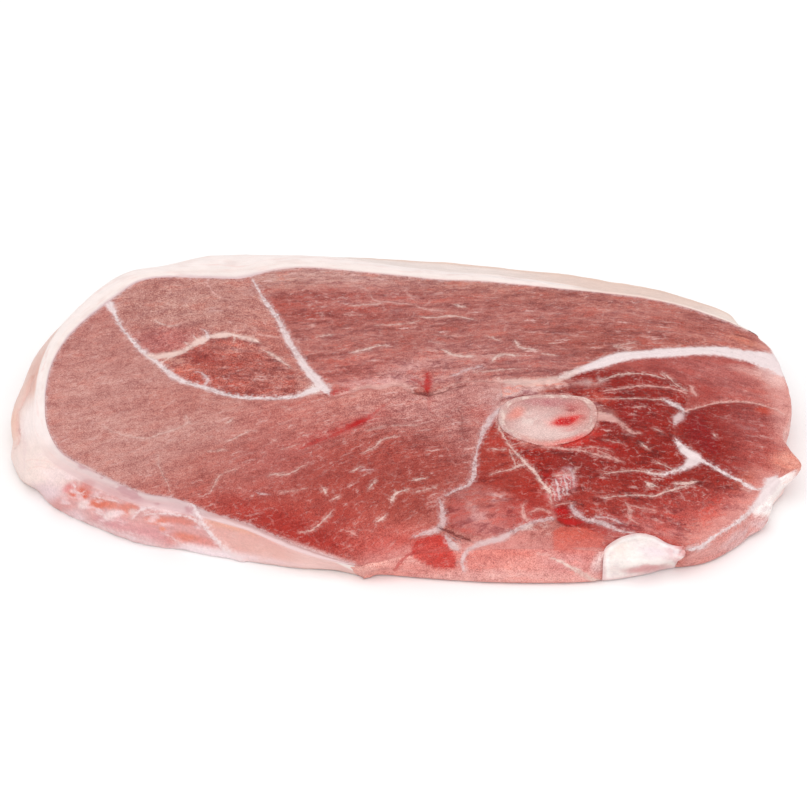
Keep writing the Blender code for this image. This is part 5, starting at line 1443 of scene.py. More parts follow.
def build_cap():
    data, sec, where = cap_sections()
    n, m = sec.shape[0], sec.shape[1]
    base, nrm = data[:, :2], data[:, 2:4]
    P = np.zeros((n, m, 3))
    P[:, :, :2] = base[:, None, :] + nrm[:, None, :] * sec[:, :, 0:1]
    P[:, :, 2] = sec[:, :, 1]
    arc = np.r_[0, np.cumsum(np.hypot(*np.diff(base, axis=0).T))]
    # surface normals from the grid
    du = np.gradient(P, axis=0)
    dv = (np.roll(P, -1, axis=1) - np.roll(P, 1, axis=1)) / 2
    N = np.cross(du, dv)
    N /= np.maximum(np.linalg.norm(N, axis=2), 1e-9)[..., None]
    if (N[n // 2, m // 2] * np.r_[nrm[n // 2], 0]).sum() < 0:
        N = -N
    AR = np.repeat(arc[:, None], m, axis=1)
    ds = np.linalg.norm(np.diff(P, axis=1, prepend=P[:, :1]), axis=2)
    PR = np.cumsum(ds, axis=1)
    W = np.repeat(where[None, :], n, axis=0)
    flat = P.reshape(-1, 3)
    wx, wy = unwrap(flat)
    facing = ((EYE - flat) * N.reshape(-1, 3)).sum(axis=1) > 0
    ar, pr, wv = AR.ravel(), PR.ravel(), W.ravel()
    face = ease(1.03, 0.97, wv)
    skin = ease(0.98, 1.04, wv) * ease(2.3, 2.0, wv)
    hidden = ease(2.02, 2.1, wv)

    jx = wx + 0.9 * fbm(wx, wy, 5.0, 81)
    jy = wy + 0.9 * fbm(wx, wy, 5.0, 82)
    lines = line_field(wx + 0.25 * fbm(wx, wy, 2.0, 83), wy, CAP_LINES)
    for key in ("hw",):
        lines[key] = np.where(facing & (wx < -35), lines[key], -9.0)
    # real relief
    left = ease(-20, -60, wx)
    low = ease(-20, -45, flat[:, 1]) * left
    rel = 0.30 * fbm(ar, pr, 11.0, 84) * skin + 0.12 * fbm(ar, pr, 3.4, 85) * (0.6 * skin + 0.5 * face)
    rel += 0.35 * fbm(wx, wy, 5.5, 86) * low * skin
    rel -= lines["groove"] * np.exp(-(lines["s"] / (np.maximum(lines["hw"], 0) + 0.4)) ** 2) * (lines["hw"] > -1.0) * 1.6
    for cx, cy, rx, ry, turn, soft, ink, k in CAP_PATCHES[3:13]:
        rel -= 0.30 * blob(jx, jy, cx, cy, rx, ry, turn, 0.8) * facing
    rel += 0.30 * fbm(wx, wy, 3.0, 93) * low * skin * facing
    rel += 0.07 * fbm(ar * 0.4, pr, 0.9, 87, 2) * face
    # the swollen corner of the left end
    rel += 2.0 * blob(wx, wy, -107.5, -38, 7, 9, 35, 0.5) * skin
    # skin: shallow wrinkles that run along the slice
    rel += 0.05 * vnoise(ar / 4.0, pr / 0.7, 88) * skin
    rel *= (1 - hidden) * ease(0.0, 0.05, wv)
    rel = rel * ease(0, 4, ar) * ease(arc[-1], arc[-1] - 4, ar)
    flat = flat + N.reshape(-1, 3) * rel[:, None]
    flat[:, 2] = np.maximum(flat[:, 2], 0.0)

    # ---- paint
    col = np.tile(srgb((239, 225, 220)), (len(flat), 1))

    def lay(ink, w):
        nonlocal col
        col = col + (srgb(ink) - col) * np.clip(w, 0, 1)[:, None]

    # the sawn fat: white inside, faintly pink and lilac toward the lean
    lay((226, 198, 194), face * ease(0.16, 0.0, wv) * 0.8)
    lay((212, 184, 188), face * left * ease(0.22, 0.0, wv + 0.05 * fbm(ar, pr, 3.0, 94)) * 0.8)
    lay((243, 231, 228), face * ease(0.3, 0.6, wv) * 0.6)
    lay((230, 208, 203), face * 0.5 * ease(0.1, 0.6, fbm(ar * 0.25, pr, 1.6, 89)))
    far = ease(30, 50, flat[:, 1])
    # far side: cream strip outside the white, skin tan right of the middle
    tan = ease(20, 62, wx) * far
    lay((230, 214, 208), far * skin * 0.85)
    lay((226, 200, 189), tan * skin * 0.95)
    lay((228, 205, 195), tan * face * ease(45, 66, wx) * 0.9)
    lay((236, 218, 208), ease(92, 100, wx) * 0.6)
    # skin of the left end
    lskin = skin * ease(-96, -100, wx) * ease(-34, -24, flat[:, 1]) * ease(48, 36, flat[:, 1])
    lay((227, 194, 184), lskin * 0.95)
    lay((216, 154, 134), lskin * ease(0.05, 0.45, fbm(ar, pr * 0.5, 5.0, 90)) * 0.4)
    lay((230, 206, 198), blob(wx, wy, -110.6, 15.0, 4.0, 6.0, 0, 0.7) * skin * 0.8)
    lay((214, 152, 136), blob(wx, wy, -108.6, 7.0, 1.8, 12, -4, 0.6) * skin * 0.45)
    lay((226, 188, 176), skin * ease(-94, -100, wx) * ease(60, 46, flat[:, 1]) * ease(30, 44, flat[:, 1]) * 0.5)
    # left end: swollen white fat in front of the crease
    lay((243, 228, 225), blob(wx, wy, -105, -20, 5.6, 14, 8, 0.4) * 0.9)
    lay((236, 212, 207), blob(wx, wy, -109, -33, 3.6, 7, 10, 0.6) * 0.6)
    lay((232, 190, 174), skin * blob(wx, wy, -113.6, -20, 2.4, 10, 3, 0.5) * 0.85)
    # front left wall
    wall = skin * low * facing
    lay((216, 166, 164), wall * 0.9)
    lay((200, 142, 148), wall * ease(0.15, 0.55, fbm(wx, wy * 1.6, 3.6, 95)) * 0.55)
    mottled = (skin + face * ease(0.25, 0.75, wv)) * facing
    for cx, cy, rx, ry, turn, soft, ink, k in CAP_PATCHES:
        lay(ink, blob(jx, jy, cx, cy, rx, ry, turn, soft) * k * mottled)
    c8, s8 = math.cos(math.radians(-20)), math.sin(math.radians(-20))
    lay((234, 208, 210), wall * ease(0.10, 0.50, fbm(wx * c8 + wy * s8, (wy * c8 - wx * s8) * 1.7, 3.0, 91)) * 0.65
        * ease(0.75, 1.0, 1 - blob(wx, wy, -58, -70.6, 6, 3, 0, 0.4)))
    # band of cut fat between the lean and the wall, lilac
    band = face * low
    lay((214, 184, 186), band * 0.55 * ease(-70, -60, wx))
    lay((206, 170, 172), band * 0.6)
    lay((198, 150, 154), band * 0.85 * ease(0.1, 0.5, fbm(wx, wy, 3.0, 96)) * ease(-96, -90, wx))
    # the smooth peach wedge and its pale ridge
    d = inside(jx * 0.5 + wx * 0.5, jy * 0.5 + wy * 0.5, PEACH)
    pk = ease(-0.4, 0.6, d) * facing * ease(0.9, 1.02, wv)
    lay((222, 167, 160), pk)
    lay((228, 184, 174), pk * blob(jx, jy, -32, -74, 14, 4, -12, 0.8) * 0.6)
    lay((230, 168, 140), pk * blob(jx, jy, -46, -64.6, 7, 1.8, -14, 0.8) * 0.5)
    lay((228, 196, 196), pk * ease(4.2, 1.6, flat[:, 2]) * 0.6)
    lay((238, 204, 198), pk * ease(-34, -24, wx) * 0.7)
    lay((246, 232, 236), wall * ease(5.2, 2.2, flat[:, 2]) * ease(-64, -54, wx) * 0.85)
    lay((226, 186, 180), pk * ease(0.1, 0.5, fbm(wx, wy, 3.4, 97)) * 0.5)
    ridge = face * ease(-56, -50, wx) * ease(-5, -15, wx) * ease(-40, -50, flat[:, 1])
    lay((204, 160, 158), ridge * 0.9)
    lay((228, 202, 202), ridge * ease(0.3, 0.7, wv + 0.2 * fbm(ar, pr, 2.0, 98)) * 0.7)
    # tan foot all round where the skin lies on the table
    lay((226, 192, 180), skin * ease(1.75, 1.95, wv) * 0.5 * (1 - low))
    # the back of the skin, which no front view shows
    backside = skin * ease(1.25, 1.5, wv) * far
    lay((222, 190, 174), backside * 0.8)
    lay((232, 206, 194), backside * ease(0.0, 0.5, fbm(ar, pr, 7.0, 92)) * 0.6)
    inks = np.array([srgb(c) for c in INKS])
    A = {
        "c_flesh": col,
        "tex": np.column_stack([skin * (1 - low), face, low * skin]),
        "fib": np.column_stack([ar, pr, skin]),
        "g0": np.column_stack([lines["s"], lines["hw"], lines["k"]]),
        "c_i0": inks[lines["ink"]],
    }

    idx = np.arange(n * m).reshape(n, m)
    a, b = idx[:-1], idx[1:]
    quad = np.stack([a, np.roll(a, -1, axis=1), np.roll(b, -1, axis=1), b], axis=2).reshape(-1, 4)
    # UV: the ribs in two strips of the atlas
    ru = arc / arc[-1]
    per = PR[:, -1] + np.linalg.norm(P[:, 0] - P[:, -1], axis=1)
    pv = np.column_stack([PR, per]) / per.max()
    i = np.repeat(np.arange(n - 1), m)
    j = np.tile(np.arange(m), n - 1)
    strip = (i >= (n - 1) // 2).astype(int)
    mid = ru[(n - 1) // 2]

    def uv(ii, jj):
        u = np.where(strip == 0, ru[ii] / mid, (ru[ii] - mid) / (1 - mid)) * 0.99 + 0.005
        v = pv[ii, jj] * 0.47 + 0.01 + 0.5 * strip
        return np.column_stack([u, v])

    uvs = np.stack([uv(i, j), uv(i, j + 1), uv(i + 1, j + 1), uv(i + 1, j)], axis=1)
    # triangulate the quads and close the two ends with fans round their middle
    t1, t2 = quad[:, [0, 1, 2]], quad[:, [0, 2, 3]]
    u1, u2 = uvs[:, [0, 1, 2]], uvs[:, [0, 2, 3]]
    ends, euv = [], []
    verts = [flat]
    nv = len(flat)
    for row, turn in ((idx[0], False), (idx[-1], True)):
        c = flat[row].mean(axis=0)
        verts.append(c[None])
        f = np.column_stack([row, np.roll(row, -1), np.full(m, nv)])
        ends.append(f if turn else f[:, ::-1])
        e = np.tile(np.array([[0.001, 0.985], [0.003, 0.985], [0.002, 0.99]]), (m, 1, 1))
        euv.append(e)
        nv += 1
        for k in A:
            A[k] = np.concatenate([A[k], A[k][row].mean(axis=0, keepdims=True)])
    T = np.vstack([t1, t2] + ends)
    U = np.vstack([u1, u2] + euv)
    V = np.vstack(verts)
    # outward faces: volume must be positive
    x = V[T]
    vol = np.einsum("ij,ij->i", x[:, 0], np.cross(x[:, 1], x[:, 2])).sum() / 6
    if vol < 0:
        T, U = T[:, ::-1], U[:, ::-1]
    ob = make_mesh("fat_and_skin", V, T, A, U.reshape(-1, 2))
    print("fat: %d triangles, %.1f cm3" % (len(T), abs(vol) / 1000))
    return ob


# ---------------------------------------------------------------------------
# the femur and the pad of fat
# ---------------------------------------------------------------------------
def bone_height(x, y):
    return face_height(x, y) + BONE_PROUD


def bone_paint(x, y, z):
    """Sawn femur: hard rim, pink spongy middle, blood spots."""
    ang = np.arctan2(y - BONE_Y, x - BONE_X)
    edge = femur(BONE_A, BONE_B, ang)
    r = np.hypot(x - BONE_X, y - BONE_Y) / np.hypot(edge[:, 0] - BONE_X, edge[:, 1] - BONE_Y)
    jx = x + 0.5 * fbm(x, y, 3.0, 101)
    jy = y + 0.5 * fbm(x, y, 3.0, 102)
    col = np.tile(srgb((198, 150, 145)), (len(x), 1))

    def lay(ink, w):
        nonlocal col
        col = col + (srgb(ink) - col) * np.clip(w, 0, 1)[:, None]

    lay((216, 178, 173), blob(jx, jy, 40.6, -17.6, 8.4, 6.4, -6, 0.6) * 0.95)
    lay((232, 206, 199), blob(jx, jy, 38.4, -16.2, 4.6, 3.2, -10, 0.8) * 0.8 * ease(-0.2, 0.4, fbm(x, y, 1.6, 104)))
    lay((228, 138, 124), blob(jx, jy, 33.9, -13.4, 1.8, 3.4, -38, 0.7) * 0.8)
    lay((190, 122, 124), blob(jx, jy, 44, -7.8, 7.0, 1.9, -4, 0.7) * 0.75)
    lay((172, 96, 104), blob(jx, jy, 44, -8.2, 6.0, 1.5, -4, 0.7) * 0.5 * ease(0.0, 0.5, fbm(x, y, 1.4, 105)))
    lay((206, 126, 120), blob(jx, jy, 52, -10.6, 3.4, 3.6, 30, 0.8) * 0.75)
    lay((186, 92, 92), blob(jx, jy, 50.6, -10.2, 1.8, 1.0, -20, 0.7) * 0.6)
    lay((214, 168, 160), blob(jx, jy, 53.0, -17.0, 3.0, 4.0, 10, 0.8) * 0.6)
    lay((226, 104, 96), blob(jx, jy, 48.2, -17.2, 5.0, 3.0, 25, 0.8) * 0.8)
    lay((204, 14, 16), blob(jx, jy, 47.8, -16.9, 3.5, 1.9, 26, 0.5))
    lay((190, 12, 18), blob(jx, jy, 48.6, -16.6, 1.6, 1.0, 30, 0.7) * 0.8)
    lay((214, 60, 58), blob(jx, jy, 51.4, -15.0, 1.8, 0.8, 24, 0.8) * 0.7)
    lay((206, 84, 80), blob(jx, jy, 48.4, -21.6, 2.4, 0.7, 18, 0.7) * 0.8)
    lay((150, 56, 56), blob(jx, jy, 49.8, -11.4, 1.3, 0.6, -10, 0.7) * 0.7)
    lay((176, 84, 78), blob(jx, jy, 53.4, -15.6, 0.9, 0.7, 0, 0.7) * 0.6)
    # hard rim: greyer, with a fine dark line between it and the sponge
    wob = r + 0.050 * fbm(x, y, 2.4, 106)
    rim = ease(0.83, 0.88, wob)
    lay((228, 196, 190), blob(jx, jy, 42.5, -22.6, 9.0, 3.4, -4, 0.7) * 0.85)
    lay((206, 164, 157), rim * 0.7)
    lay((232, 206, 196), rim * ease(-0.1, 0.4, fbm(x, y, 1.6, 103)) * 0.75)
    line = np.exp(-((wob - 0.845) / 0.018) ** 2)
    lay((176, 124, 116), line * 0.42 * ease(-0.25, 0.35, fbm(x, y, 3.0, 107)))
    lay((222, 84, 80), ease(0.80, 1.0, r) * ease(0.80, 0.2, np.abs(ang + 1.10)) * 0.85)
    lay((224, 150, 140), ease(0.78, 0.95, r) * ease(0.9, 0.3, np.abs(ang + 1.7)) * 0.6)
    lay((204, 140, 132), ease(0.86, 1.0, r) * ease(0.9, 0.2, np.abs(ang - 0.2)) * 0.5)
    lay((196, 160, 158), ease(0.88, 1.0, r) * ease(1.2, 0.3, np.abs(np.abs(ang) - 2.9)) * 0.6)
    # ragged white chips where the saw left the upper right of the rim
    chips = ease(0.93, 0.99, r) * ease(0.1, 0.45, fbm(x, y, 1.1, 108)) * ease(0.1, 0.3, ang) * ease(1.5, 1.2, ang)
    lay((246, 230, 224), chips * 0.9)
    # the outer edge of the rim and its proud side: ragged pale and deeper pink tissue tone, the pale lightened as
    # painted light over the shade of the proud side
    lay((220, 168, 160), ease(0.96, 1.0, r) * ease(0.35, -0.15, fbm(x, y, 2.0, 109)) * 0.6)
    lay((198, 128, 122), ease(0.955, 1.0, r) * ease(0.0, 0.35, fbm(x, y, 1.8, 110)) * 0.5)
    down = ease(1.0, 6.0, bone_height(x, y) - z)
    lay((214, 168, 156), down * 0.6)
    return col


def ring(d, level=None, z_off=0.0, sides=160):
    ang = np.linspace(0, 2 * math.pi, sides + 1)[:-1]
    p = femur(BONE_A + d, BONE_B + d, ang)
    z = np.full(sides, float(level)) if level is not None else face_height(p[:, 0], p[:, 1]) + z_off
    return np.column_stack([p, z])


def loft(rows, ring_ends):
    m = len(rows[0])
    V = np.vstack(rows)
    F = []
    last = len(rows) if ring_ends else len(rows) - 1
    for k in range(last):
        a = k * m + np.arange(m)
        b = ((k + 1) % len(rows)) * m + np.arange(m)
        F.append(np.column_stack([a, np.roll(a, -1), np.roll(b, -1)]))
        F.append(np.column_stack([a, np.roll(b, -1), b]))
    if not ring_ends:
        for k, turn in ((0, True), (len(rows) - 1, False)):
            row = k * m + np.arange(m)
            c = len(V)
            V = np.vstack([V, V[row].mean(axis=0)])
            f = np.column_stack([row, np.roll(row, -1), np.full(m, c)])
            F.append(f[:, ::-1] if turn else f)
    F = np.vstack(F)
    x = V[F]
    if np.einsum("ij,ij->i", x[:, 0], np.cross(x[:, 1], x[:, 2])).sum() < 0:
        F = F[:, ::-1]
    return V, F


def sawn_bone_relief(P, amount):
    x, y = P[:, 0], P[:, 1]
    c, s = math.cos(0.5), math.sin(0.5)
    rel = 0.035 * vnoise((c * x - s * y) / 0.8, (s * x + c * y) / 14.0, 111)
    rel = rel + 0.10 * fbm(x, y, 4.0, 112) + 0.05 * fbm(x, y, 1.3, 113)
    P[:, 2] += amount * rel
    return P


def build_bone():
    rows = [ring(0, 0.0), ring(0, 4.0), ring(0, 8.0), ring(0, z_off=-0.6), ring(0, z_off=-0.1)]
    for t in np.linspace(0, 1, 5)[1:]:
        a = t * math.pi / 2
        rows.append(ring(-0.45 * (1 - math.cos(a)), z_off=-0.1 + (BONE_PROUD + 0.1) * math.sin(a)))
    for d in np.linspace(0.45, BONE_WALL, 8)[1:]:
        rows.append(ring(-d, z_off=BONE_PROUD))
    for lv in (8.0, 4.0, 0.0):
        rows.append(ring(-BONE_WALL, lv))
    for d in (1.5, 0.8):
        rows.append(ring(-d, 0.0))
    top0, top1 = 6, 15
    for k in range(top0, top1):
        rows[k] = sawn_bone_relief(rows[k], 1.0 if k < top1 - 1 else 0.6)
    V, F = loft(rows, True)
    A = {"c_flesh": bone_paint(V[:, 0], V[:, 1], V[:, 2])}
    return make_mesh("femur_ring", V, F, A, smooth_angle=50)


def build_marrow():
    d0 = BONE_WALL - 0.1
    rows = [ring(-d0, 0.0), ring(-d0, 4.0), ring(-d0, 8.0), ring(-d0, z_off=BONE_PROUD - 0.3)]
    share = np.linspace(1, 0.03, 40)
    ang = np.linspace(0, 2 * math.pi, 161)[:-1]
    for s in share:
        p = femur((BONE_A - d0) * s, (BONE_B - d0) * s, ang)
        z = face_height(p[:, 0], p[:, 1]) + BONE_PROUD - 0.05 - 0.22 * ease(1.0, 0.5, np.full(160, s))
        q = np.column_stack([p, z])
        rows.append(sawn_bone_relief(q, 1.0 if s < 0.99 else 0.5))
    V, F = loft(rows, False)
    A = {"c_flesh": bone_paint(V[:, 0], V[:, 1], V[:, 2])}
    return make_mesh("femur_sponge", V, F, A, smooth_angle=60)


def build_pad():
    """The pad of fat set into the front right edge."""
    back = resample(spline(PAD_BACK, False), 90, False)
    bn = outward(back, False)
    back = back[:, :2] + bn * (GAP / 2)
    fat = [(r[0], r[1], 0.0, 1.0, r[5]) for r in FAT_RIBS]
    bare = [(r[0], r[1], r[2], 0.0, 0.0) for r in LEAN_RIBS]
    base = resample(spline(fat + bare, True), LEAN_SIDES, True)
    o = resample(spline(base, True, 8), 1600, True)
    nrm = outward(o[:, :2], True)
    xy = o[:, :2] - nrm * (GAP / 2)
    sel = (xy[:, 1] < -60) & (xy[:, 0] > back[0, 0] - 0.1) & (xy[:, 0] < back[-1, 0] - 0.9)
    i = np.flatnonzero(sel)
    front = np.column_stack([xy[i], o[i, 2], nrm[i]])
    front = resample(front, 90, False)
    fxy, fsw, fn = front[:, :2], front[:, 2], front[:, 3:5]
    h = face_height(fxy[:, 0], fxy[:, 1])
    taper = np.clip(np.minimum(np.arange(90), 89 - np.arange(90)) / 5.0, 0, 1)
    corner = ease(16, 0, np.arange(90)) + 0.35 * ease(30, 0, 89 - np.arange(90))
    rows = []
    # across the top from the back line to the rim, then down the wall, and under
    rim = fxy - fn * EDGE
    # keep the back line behind the wall all the way down
    reach = ((fxy - back) * fn).sum(axis=1)
    bk = back - fn * np.maximum(0.35 - (reach - EDGE), 0)[:, None]
    bk0 = back - fn * np.maximum(0.35 - (reach + fsw - 1.3), 0)[:, None]
    for s in np.linspace(0, 1, 26):
        p = bk + (rim - bk) * s
        z = face_height(p[:, 0], p[:, 1])
        swell = 0.50 * math.sin(math.pi * min(s * 1.1, 1.0)) * taper
        z = z + swell + 0.16 * fbm(p[:, 0], p[:, 1], 4.0, 121) * taper * math.sin(math.pi * s) - 0.5 * (1 - taper) * (1 - s)
        z = z - (1.3 * taper + 1.6 * corner) * float(ease(0.30, 1.0, s)) ** 1.5
        rows.append(np.column_stack([p, z]))
    for share in (0.99, 0.97, 0.93, 0.87, 0.8, 0.72, 0.64, 0.56, 0.48, 0.4, 0.32, 0.24, 0.16, 0.09, 0.04, 0.0):
        d = wall_offset(share, fsw)
        d = d + 0.25 * fbm(fxy[:, 0], np.full(90, share * 10.0), 3.5, 122) * taper * ease(0, 0.1, np.full(90, share))
        p = fxy + fn * d[:, None]
        rows.append(np.column_stack([p, h * share - (1.3 * taper + 1.6 * corner) * float(ease(0.35, 1.0, share))]))
    foot = rows[-1][:, :2]
    for s in (0.66, 0.33, 0.0):
        p = bk0 + (foot - bk0) * s
        rows.append(np.column_stack([p, np.zeros(90)]))
    for lv in (0.33, 0.66):
        q = bk0 + (bk - bk0) * lv
        rows.append(np.column_stack([q, face_height(q[:, 0], q[:, 1]) * lv]))
    R = np.array(rows)
    m, n = R.shape[0], R.shape[1]
    idx = np.arange(m * n).reshape(m, n)
    F = []
    for k in range(m):
        a, b = idx[k], idx[(k + 1) % m]
        F.append(np.column_stack([a[:-1], a[1:], b[1:]]))
        F.append(np.column_stack([a[:-1], b[1:], b[:-1]]))
    V = R.reshape(-1, 3)
    for e, turn in ((0, True), (n - 1, False)):
        row = idx[:, e]
        c = len(V)
        V = np.vstack([V, V[row].mean(axis=0)])
        f = np.column_stack([row, np.roll(row, -1), np.full(m, c)])
        F.append(f if turn else f[:, ::-1])
    F = np.vstack(F)
    x = V[F]
    if np.einsum("ij,ij->i", x[:, 0], np.cross(x[:, 1], x[:, 2])).sum() < 0:
        F = F[:, ::-1]
    wx, wy = unwrap(V)
    col = np.tile(srgb((243, 232, 227)), (len(V), 1))

    def lay(ink, w):
        nonlocal col
        col = col + (srgb(ink) - col) * np.clip(w, 0, 1)[:, None]

    jx = wx + 0.8 * fbm(wx, wy, 3.0, 124)
    jy = wy + 0.8 * fbm(wx, wy, 3.0, 125)
    lay((236, 214, 206), blob(jx, jy, 59.0, -70.5, 3.4, 3.8, 10, 0.7) * 0.8)
    lay((228, 206, 212), blob(jx, jy, 73.0, -70.5, 6.4, 3.8, 20, 0.7) * 0.8)
    lay((232, 214, 210), ease(-0.1, 0.5, fbm(wx * 0.45, wy, 2.2, 123)) * 0.55)
    lay((222, 204, 206), ease(0.05, 0.5, fbm(wx * 0.8, wy, 1.5, 127)) * 0.45)
    edge = np.abs(inside(wx, wy, [tuple(q) for q in PAD_BACK] + [(80, -90), (55, -90)]))
    lay((226, 192, 192), ease(1.1, 0.2, edge) * 0.7)
    lay((246, 238, 236), ease(0.9, 1.3, edge) * ease(2.4, 1.5, edge) * 0.6)
    # pink lens low on its front
    lay((214, 156, 156), blob(jx, jy, 67.4, -79.4, 6.2, 1.5, 10, 0.5) * 0.9)
    lay((228, 196, 196), ease(2.6, 0.6, V[:, 2]) * 0.7)
    # the right end fades into the red wall, mottled
    speck = fbm(wx, wy, 2.0, 126)
    lay((222, 176, 180), ease(70.0, 77.0, wx) * ease(-0.1, 0.5, speck) * 0.6)
    lay((218, 160, 158), ease(73.0, 79.0, wx) * ease(-0.35, 0.25, speck) * 0.6)
    lay((206, 126, 120), ease(76.5, 80.0, wx + 1.5 * speck) * 0.85)
    A = {"c_flesh": col}
    ob = make_mesh("pad_of_fat", V, F, A, smooth_angle=60)
    return ob


# ---------------------------------------------------------------------------
# materials
# ---------------------------------------------------------------------------
LIGHT = 0.95          # how bright the room makes a level face, and the sheen on it:
SHEEN = 0.03          # the paints below are the colours seen, and allow for both


class Net:
    """Small helper for node trees."""

    def __init__(self, name):
        self.mat = bpy.data.materials.new(name)
        self.mat.use_nodes = True
        self.t = self.mat.node_tree
        self.t.nodes.clear()
        self.out = self.t.nodes.new("ShaderNodeOutputMaterial")
        self.bsdf = self.t.nodes.new("ShaderNodeBsdfPrincipled")
        self.t.links.new(self.bsdf.outputs[0], self.out.inputs[0])
        self._mm = None

    def set(self, sock, v):
        if isinstance(v, bpy.types.NodeSocket):
            self.t.links.new(v, sock)
        elif v is not None:
            if hasattr(sock, "default_value"):
                if sock.type == "VALUE" and not np.isscalar(v):
                    v = v[0]
                sock.default_value = v

    def attr(self, name, out="Vector"):
        n = self.t.nodes.new("ShaderNodeAttribute")
        n.attribute_name = name
        return n.outputs[out]

    def mm(self):
        if self._mm is None:
            c = self.t.nodes.new("ShaderNodeTexCoord")
            self._mm = self.vec("SCALE", c.outputs["Object"], scale=1000.0)
        return self._mm

    def vec(self, op, a, b=None, scale=None):
        n = self.t.nodes.new("ShaderNodeVectorMath")
        n.operation = op
        self.set(n.inputs[0], a)
        if b is not None:
            self.set(n.inputs[1], b)
        if scale is not None:
            self.set(n.inputs[3], scale)
        return n.outputs["Value"] if op in ("LENGTH", "DOT_PRODUCT", "DISTANCE") else n.outputs["Vector"]

    def op(self, op, a, b=None, c=None, clamp=False):
        n = self.t.nodes.new("ShaderNodeMath")
        n.operation = op
        n.use_clamp = clamp
        self.set(n.inputs[0], a)
        if b is not None:
            self.set(n.inputs[1], b)
        if c is not None:
            self.set(n.inputs[2], c)
        return n.outputs[0]

    def parts(self, v):
        n = self.t.nodes.new("ShaderNodeSeparateXYZ")
        self.set(n.inputs[0], v)
        return n.outputs[0], n.outputs[1], n.outputs[2]

    def join(self, x, y, z):
        n = self.t.nodes.new("ShaderNodeCombineXYZ")
        for s, v in zip(n.inputs, (x, y, z)):
            self.set(s, v)
        return n.outputs[0]

    def noise(self, v, scale, detail=2.0, rough=0.5, dims="3D", distort=0.0):
        n = self.t.nodes.new("ShaderNodeTexNoise")
        n.noise_dimensions = dims
        self.set(n.inputs["Vector"], v)
        n.inputs["Scale"].default_value = scale
        n.inputs["Detail"].default_value = detail
        n.inputs["Roughness"].default_value = rough
        n.inputs["Distortion"].default_value = distort
        return n.outputs["Fac"]

    def cells(self, v, scale, feature="F1", rand=1.0):
        n = self.t.nodes.new("ShaderNodeTexVoronoi")
        n.feature = feature
        self.set(n.inputs["Vector"], v)
        n.inputs["Scale"].default_value = scale
        n.inputs["Randomness"].default_value = rand
        return n.outputs["Distance"]

    def span(self, v, a, b, lo=0.0, hi=1.0, smooth=True):
        n = self.t.nodes.new("ShaderNodeMapRange")
        n.interpolation_type = "SMOOTHSTEP" if smooth else "LINEAR"
        n.clamp = True
        self.set(n.inputs["Value"], v)
        for key, val in (("From Min", a), ("From Max", b), ("To Min", lo), ("To Max", hi)):
            self.set(n.inputs[key], val)
        return n.outputs["Result"]

    def mix(self, a, b, fac, blend="MIX"):
        n = self.t.nodes.new("ShaderNodeMix")
        n.data_type = "RGBA"
        n.blend_type = blend
        n.clamp_factor = True
        self.set(n.inputs["Factor"], fac)
        col = [s for s in n.inputs if s.type == "RGBA"]
        self.set(col[0], a)
        self.set(col[1], b)
        return [s for s in n.outputs if s.type == "RGBA"][0]

    def tint(self, c):
        r = np.maximum((srgb(c) - SHEEN) / LIGHT, 0.002)
        return (float(r[0]), float(r[1]), float(r[2]), 1.0)

    def bump(self, height, distance, strength=1.0, normal=None):
        n = self.t.nodes.new("ShaderNodeBump")
        n.inputs["Distance"].default_value = distance
        n.inputs["Strength"].default_value = strength
        self.set(n.inputs["Height"], height)
        if normal is not None:
            self.set(n.inputs["Normal"], normal)
        return n.outputs[0]


def add_all(net, terms):
    out = terms[0]
    for t in terms[1:]:
        out = net.op("ADD", out, t)
    return out


def line_mask(net, g, wob, fine, ragged, broken, soft=0.3):
    """Mask of one group of seams: feathered, frayed by noise, true to its
    width; thin ones break up along their length, thick ones stay whole."""
    s, hw, k = net.parts(g)
    thick = net.span(hw, 0.55, 1.25)
    fray = net.span(hw, 0.5, 1.5, 0.55, 0.40)
    s2 = add_all(net, [s, net.op("MULTIPLY", net.op("SUBTRACT", wob, 0.5), 1.3),
                       net.op("MULTIPLY", net.op("SUBTRACT", fine, 0.5), fray)])
    uneven = net.span(ragged, 0.3, 0.7, 0.62, 1.32)
    uneven = net.op("ADD", uneven, net.op("MULTIPLY", net.op("SUBTRACT", 1.0, uneven), net.op("MULTIPLY", thick, 0.75)))
    hw2 = net.op("MULTIPLY", hw, uneven)
    d = net.op("SUBTRACT", hw2, net.op("ABSOLUTE", s2))
    # broad seams melt into the flesh, thin ones keep an edge
    core = net.span(net.op("DIVIDE", d, net.op("ADD", 1.0, thick)), -soft, soft)
    halo = net.op("MULTIPLY", net.span(d, -1.5, 0.0), net.span(ragged, 0.40, 0.66, 0.05, 0.42))
    brk = net.op("MAXIMUM", net.span(broken, 0.36, 0.56, 0.42, 1.0), thick)
    m = net.op("MAXIMUM", net.op("MULTIPLY", core, brk), halo)
    return net.op("MULTIPLY", m, k, clamp=True), core, thick


